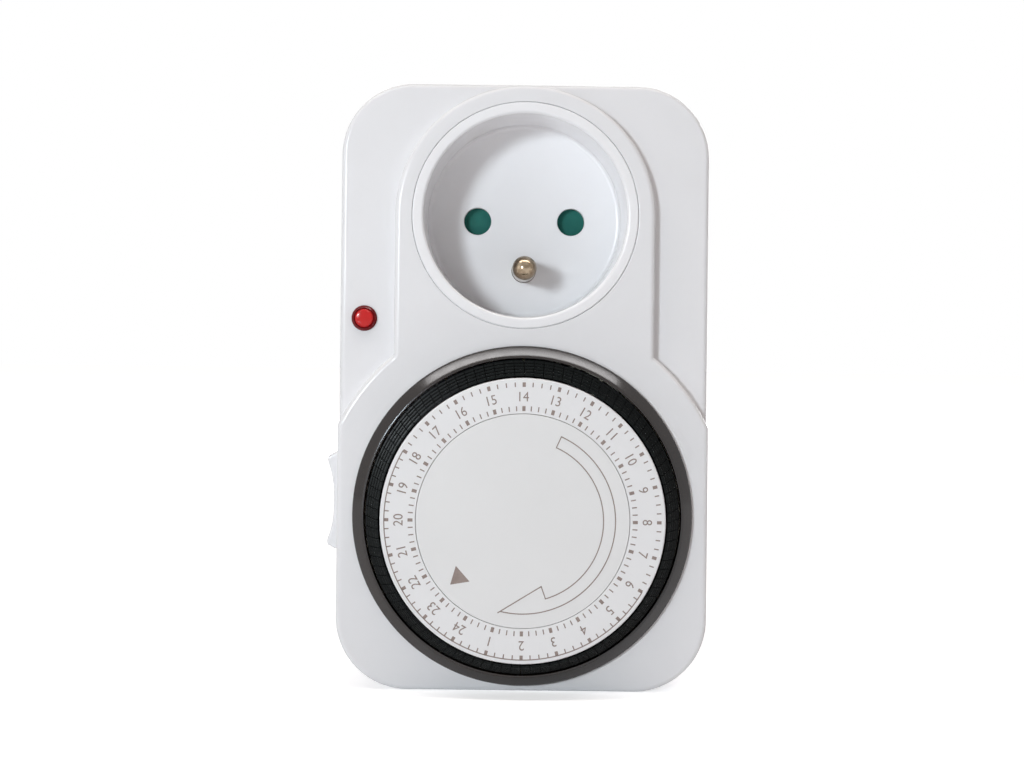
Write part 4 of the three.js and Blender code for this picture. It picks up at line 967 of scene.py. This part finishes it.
def hourNumbers():
    p = numberSizes
    bm = bmesh.new()
    onRing = Matrix.Translation((0, inkMiddleY, dialCentre[1] + p["radius"]))
    for number in range(1, hours + 1):
        mesh, upright = writtenNumber(number)
        mesh.transform(aboutDial((p["topHour"] - number) * 360 / hours) @ onRing @ upright)
        addMesh(bm, mesh)
    return finishPiece(bm, "hourNumbers", "dial", "printGrey")


def timePointer():
    # the filled mark that shows the time
    p = arrowSizes
    bearing = p["pointer"][1]
    x, z = polar(p["pointerBase"], bearing)
    acrossX, acrossZ = math.cos(math.radians(bearing)), -math.sin(math.radians(bearing))
    corners = [polar(*p["pointer"])]
    corners += [(x + half * acrossX, z + half * acrossZ) for half in (p["pointerHalf"], -p["pointerHalf"])]
    mark = bmesh.new()
    mark.faces.new([mark.verts.new((x, inkSizes["frontY"], z)) for x, z in corners])
    thicken(mark, inkDepth)
    return mark


def discPrint():
    # the outlined arrow that shows which way the dial turns, and the pointer
    p = arrowSizes
    bm = bmesh.new()
    innerEnd = p["barb"][1] - p["barbInset"]
    inkArc(bm, p["inner"], p["start"], innerEnd)
    inkArc(bm, p["outer"], p["start"], p["tip"][1] - p["tipInset"])
    inkLine(bm, polar(p["inner"], p["start"]), polar(p["outer"], p["start"]))
    inkLine(bm, polar(p["inner"], innerEnd), polar(*p["barb"]))
    inkLine(bm, polar(*p["barb"]), polar(*p["tip"]))
    addMesh(bm, meshFrom(timePointer(), "mark"))
    return finishPiece(bm, "discPrint", "housing", "printGrey")


ringMarks()
hourNumbers()
discPrint()
print("dial print made")

# CAD pieces that stay
nodeFinishes = dict(
    safety_shutter="shutterGreen", live_clip="brassSheet", neutral_clip="brassSheet",
    live_feed_strip="brassSheet", switched_live_strip="brassSheet", neon_lamp="lampGlass",
    mechanism_plate="steelZinc", motor_housing="steelZinc", motor_pinion="brassSheet",
    reduction_gear="gearNylon", gear_arbor="steelZinc", dial_spindle="steelZinc", spindle_clip="steelZinc",
    dial_drum="gearNylon", trip_lever="gearNylon", lever_pin="steelZinc", microswitch_body="switchBlack",
    microswitch_button="buttonRed",
)
for node, finishName in nodeFinishes.items():
    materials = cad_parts[node].data.materials
    materials.clear()
    materials.append(finishes[finishName])
print("CAD pieces finished")

# floor, light and camera; places and sizes of the lamps are in metres
studio = dict(
    floorZ=-92, floorHalf=3, floorColour=tone(240, 240, 242), floorRoughness=0.9,
    liftSpan=(0.1, 0.8), lift=(0.97, 0.58), worldLight=0.04, worldColour=(1.0, 0.6, 0.4, 1),
    white=(1, 1, 1, 1), aim=(0, -0.045, -0.033),
    keyPlace=(-0.27, -0.62, 0.07), keySize=0.11, keyPower=1.98, keyColour=(0.87, 0.95, 1.0),
    sidePlace=(-0.85, -0.6, 0.12), sideSize=(0.5, 0.5), sidePower=0.6, sideColour=(1.0, 0.97, 0.94),
    topPlace=(0.0, -0.33, 0.93), topSize=(1.6, 0.125), topPower=7.3, topColour=(1.0, 0.925, 0.88),
    backPlace=(0.45, 0.8, 0.3), backSize=(0.8, 0.8), backPower=5.5, backColour=(0.96, 0.98, 1.0),
)
cameraSizes = dict(place=(-4.165, -348.32, -23.88), roll=0.66, lens=54.12, sensor=36, shift=(0.0093, -0.0444),
                   clip=(0.01, 20))


def cameraSees(nodes, links):
    # 1 for rays from the camera, from gloss and through glass
    path = nodes.new("ShaderNodeLightPath")
    seen = path.outputs["Is Camera Ray"]
    for name in ("Is Glossy Ray", "Is Transmission Ray"):
        either = nodes.new("ShaderNodeMath")
        either.operation = "MAXIMUM"
        links.new(seen, either.inputs[0])
        links.new(path.outputs[name], either.inputs[1])
        seen = either.outputs["Value"]
    return seen


def shownAs(nodes, links, plain, shown, output):
    # one shader for the light on the object, another for what the camera sees
    mixed = nodes.new("ShaderNodeMixShader")
    links.new(cameraSees(nodes, links), mixed.inputs["Fac"])
    links.new(plain, mixed.inputs[1])
    links.new(shown, mixed.inputs[2])
    links.new(mixed.outputs[0], nodes[output].inputs["Surface"])


def floorLift(nodes, links):
    # the paper's own white is lower under the object, so that the shadow shows there
    place = nodes.new("ShaderNodeTexCoord")
    ball = nodes.new("ShaderNodeTexGradient")
    ball.gradient_type = "SPHERICAL"
    lift = nodes.new("ShaderNodeEmission")
    links.new(place.outputs["Object"], ball.inputs["Vector"])
    strength = spread(nodes, links, ball.outputs["Fac"], studio["liftSpan"], studio["lift"])
    links.new(strength, lift.inputs["Strength"])
    return lift


def floorPlane():
    bm = bmesh.new()
    bmesh.ops.create_grid(bm, x_segments=1, y_segments=1, size=studio["floorHalf"])
    bmesh.ops.translate(bm, vec=(0, 0, studio["floorZ"] * mm), verts=bm.verts)
    floor = placed("floor", meshFrom(bm, "floor"))
    finish, nodes, links, shader = newFinish("floorPaper", studio["floorRoughness"], specular=0.0)
    shader.inputs["Base Color"].default_value = studio["floorColour"]
    added = nodes.new("ShaderNodeAddShader")
    links.new(shader.outputs[0], added.inputs[0])
    links.new(floorLift(nodes, links).outputs[0], added.inputs[1])
    shownAs(nodes, links, shader.outputs[0], added.outputs[0], "Material Output")
    floor.data.materials.append(finish)


def worldLight():
    world = bpy.data.worlds.new("studio")
    bpy.context.scene.world = world
    world.use_nodes = True
    nodes, links = world.node_tree.nodes, world.node_tree.links
    soft = nodes["Background"]
    soft.inputs["Color"].default_value = studio["worldColour"]
    soft.inputs["Strength"].default_value = studio["worldLight"]
    white = nodes.new("ShaderNodeBackground")
    white.inputs["Color"].default_value = studio["white"]
    white.inputs["Strength"].default_value = 1.0
    shownAs(nodes, links, soft.outputs[0], white.outputs[0], "World Output")


def areaLight(name, place, size, power, colour):
    # size is a disc's diameter or a rectangle's two sides
    lamp = bpy.data.lights.new(name, "AREA")
    lamp.energy = power
    lamp.color = colour
    if isinstance(size, tuple):
        lamp.shape = "RECTANGLE"
        lamp.size, lamp.size_y = size
    else:
        lamp.shape = "DISK"
        lamp.size = size
    light = placed(name, lamp)
    light.location = place
    light.rotation_mode = "QUATERNION"
    light.rotation_quaternion = (Vector(studio["aim"]) - Vector(place)).to_track_quat("-Z", "Y")


def photoCamera():
    c = cameraSizes
    view = bpy.data.cameras.new("photoCamera")
    view.lens = c["lens"]
    view.sensor_width = c["sensor"]
    view.shift_x, view.shift_y = c["shift"]
    view.clip_start, view.clip_end = c["clip"]
    camera = placed("photoCamera", view)
    aim = quarterTurn.to_4x4() @ Matrix.Rotation(math.radians(c["roll"]), 4, "Z")
    camera.matrix_world = Matrix.Translation(Vector(c["place"]) * mm) @ aim
    bpy.context.scene.camera = camera


floorPlane()
worldLight()
for lamp in ("key", "side", "top", "back"):
    areaLight(lamp + "Light", *(studio[lamp + part] for part in ("Place", "Size", "Power", "Colour")))
photoCamera()
bpy.context.scene.view_settings.view_transform = "Standard"
print("stage made")
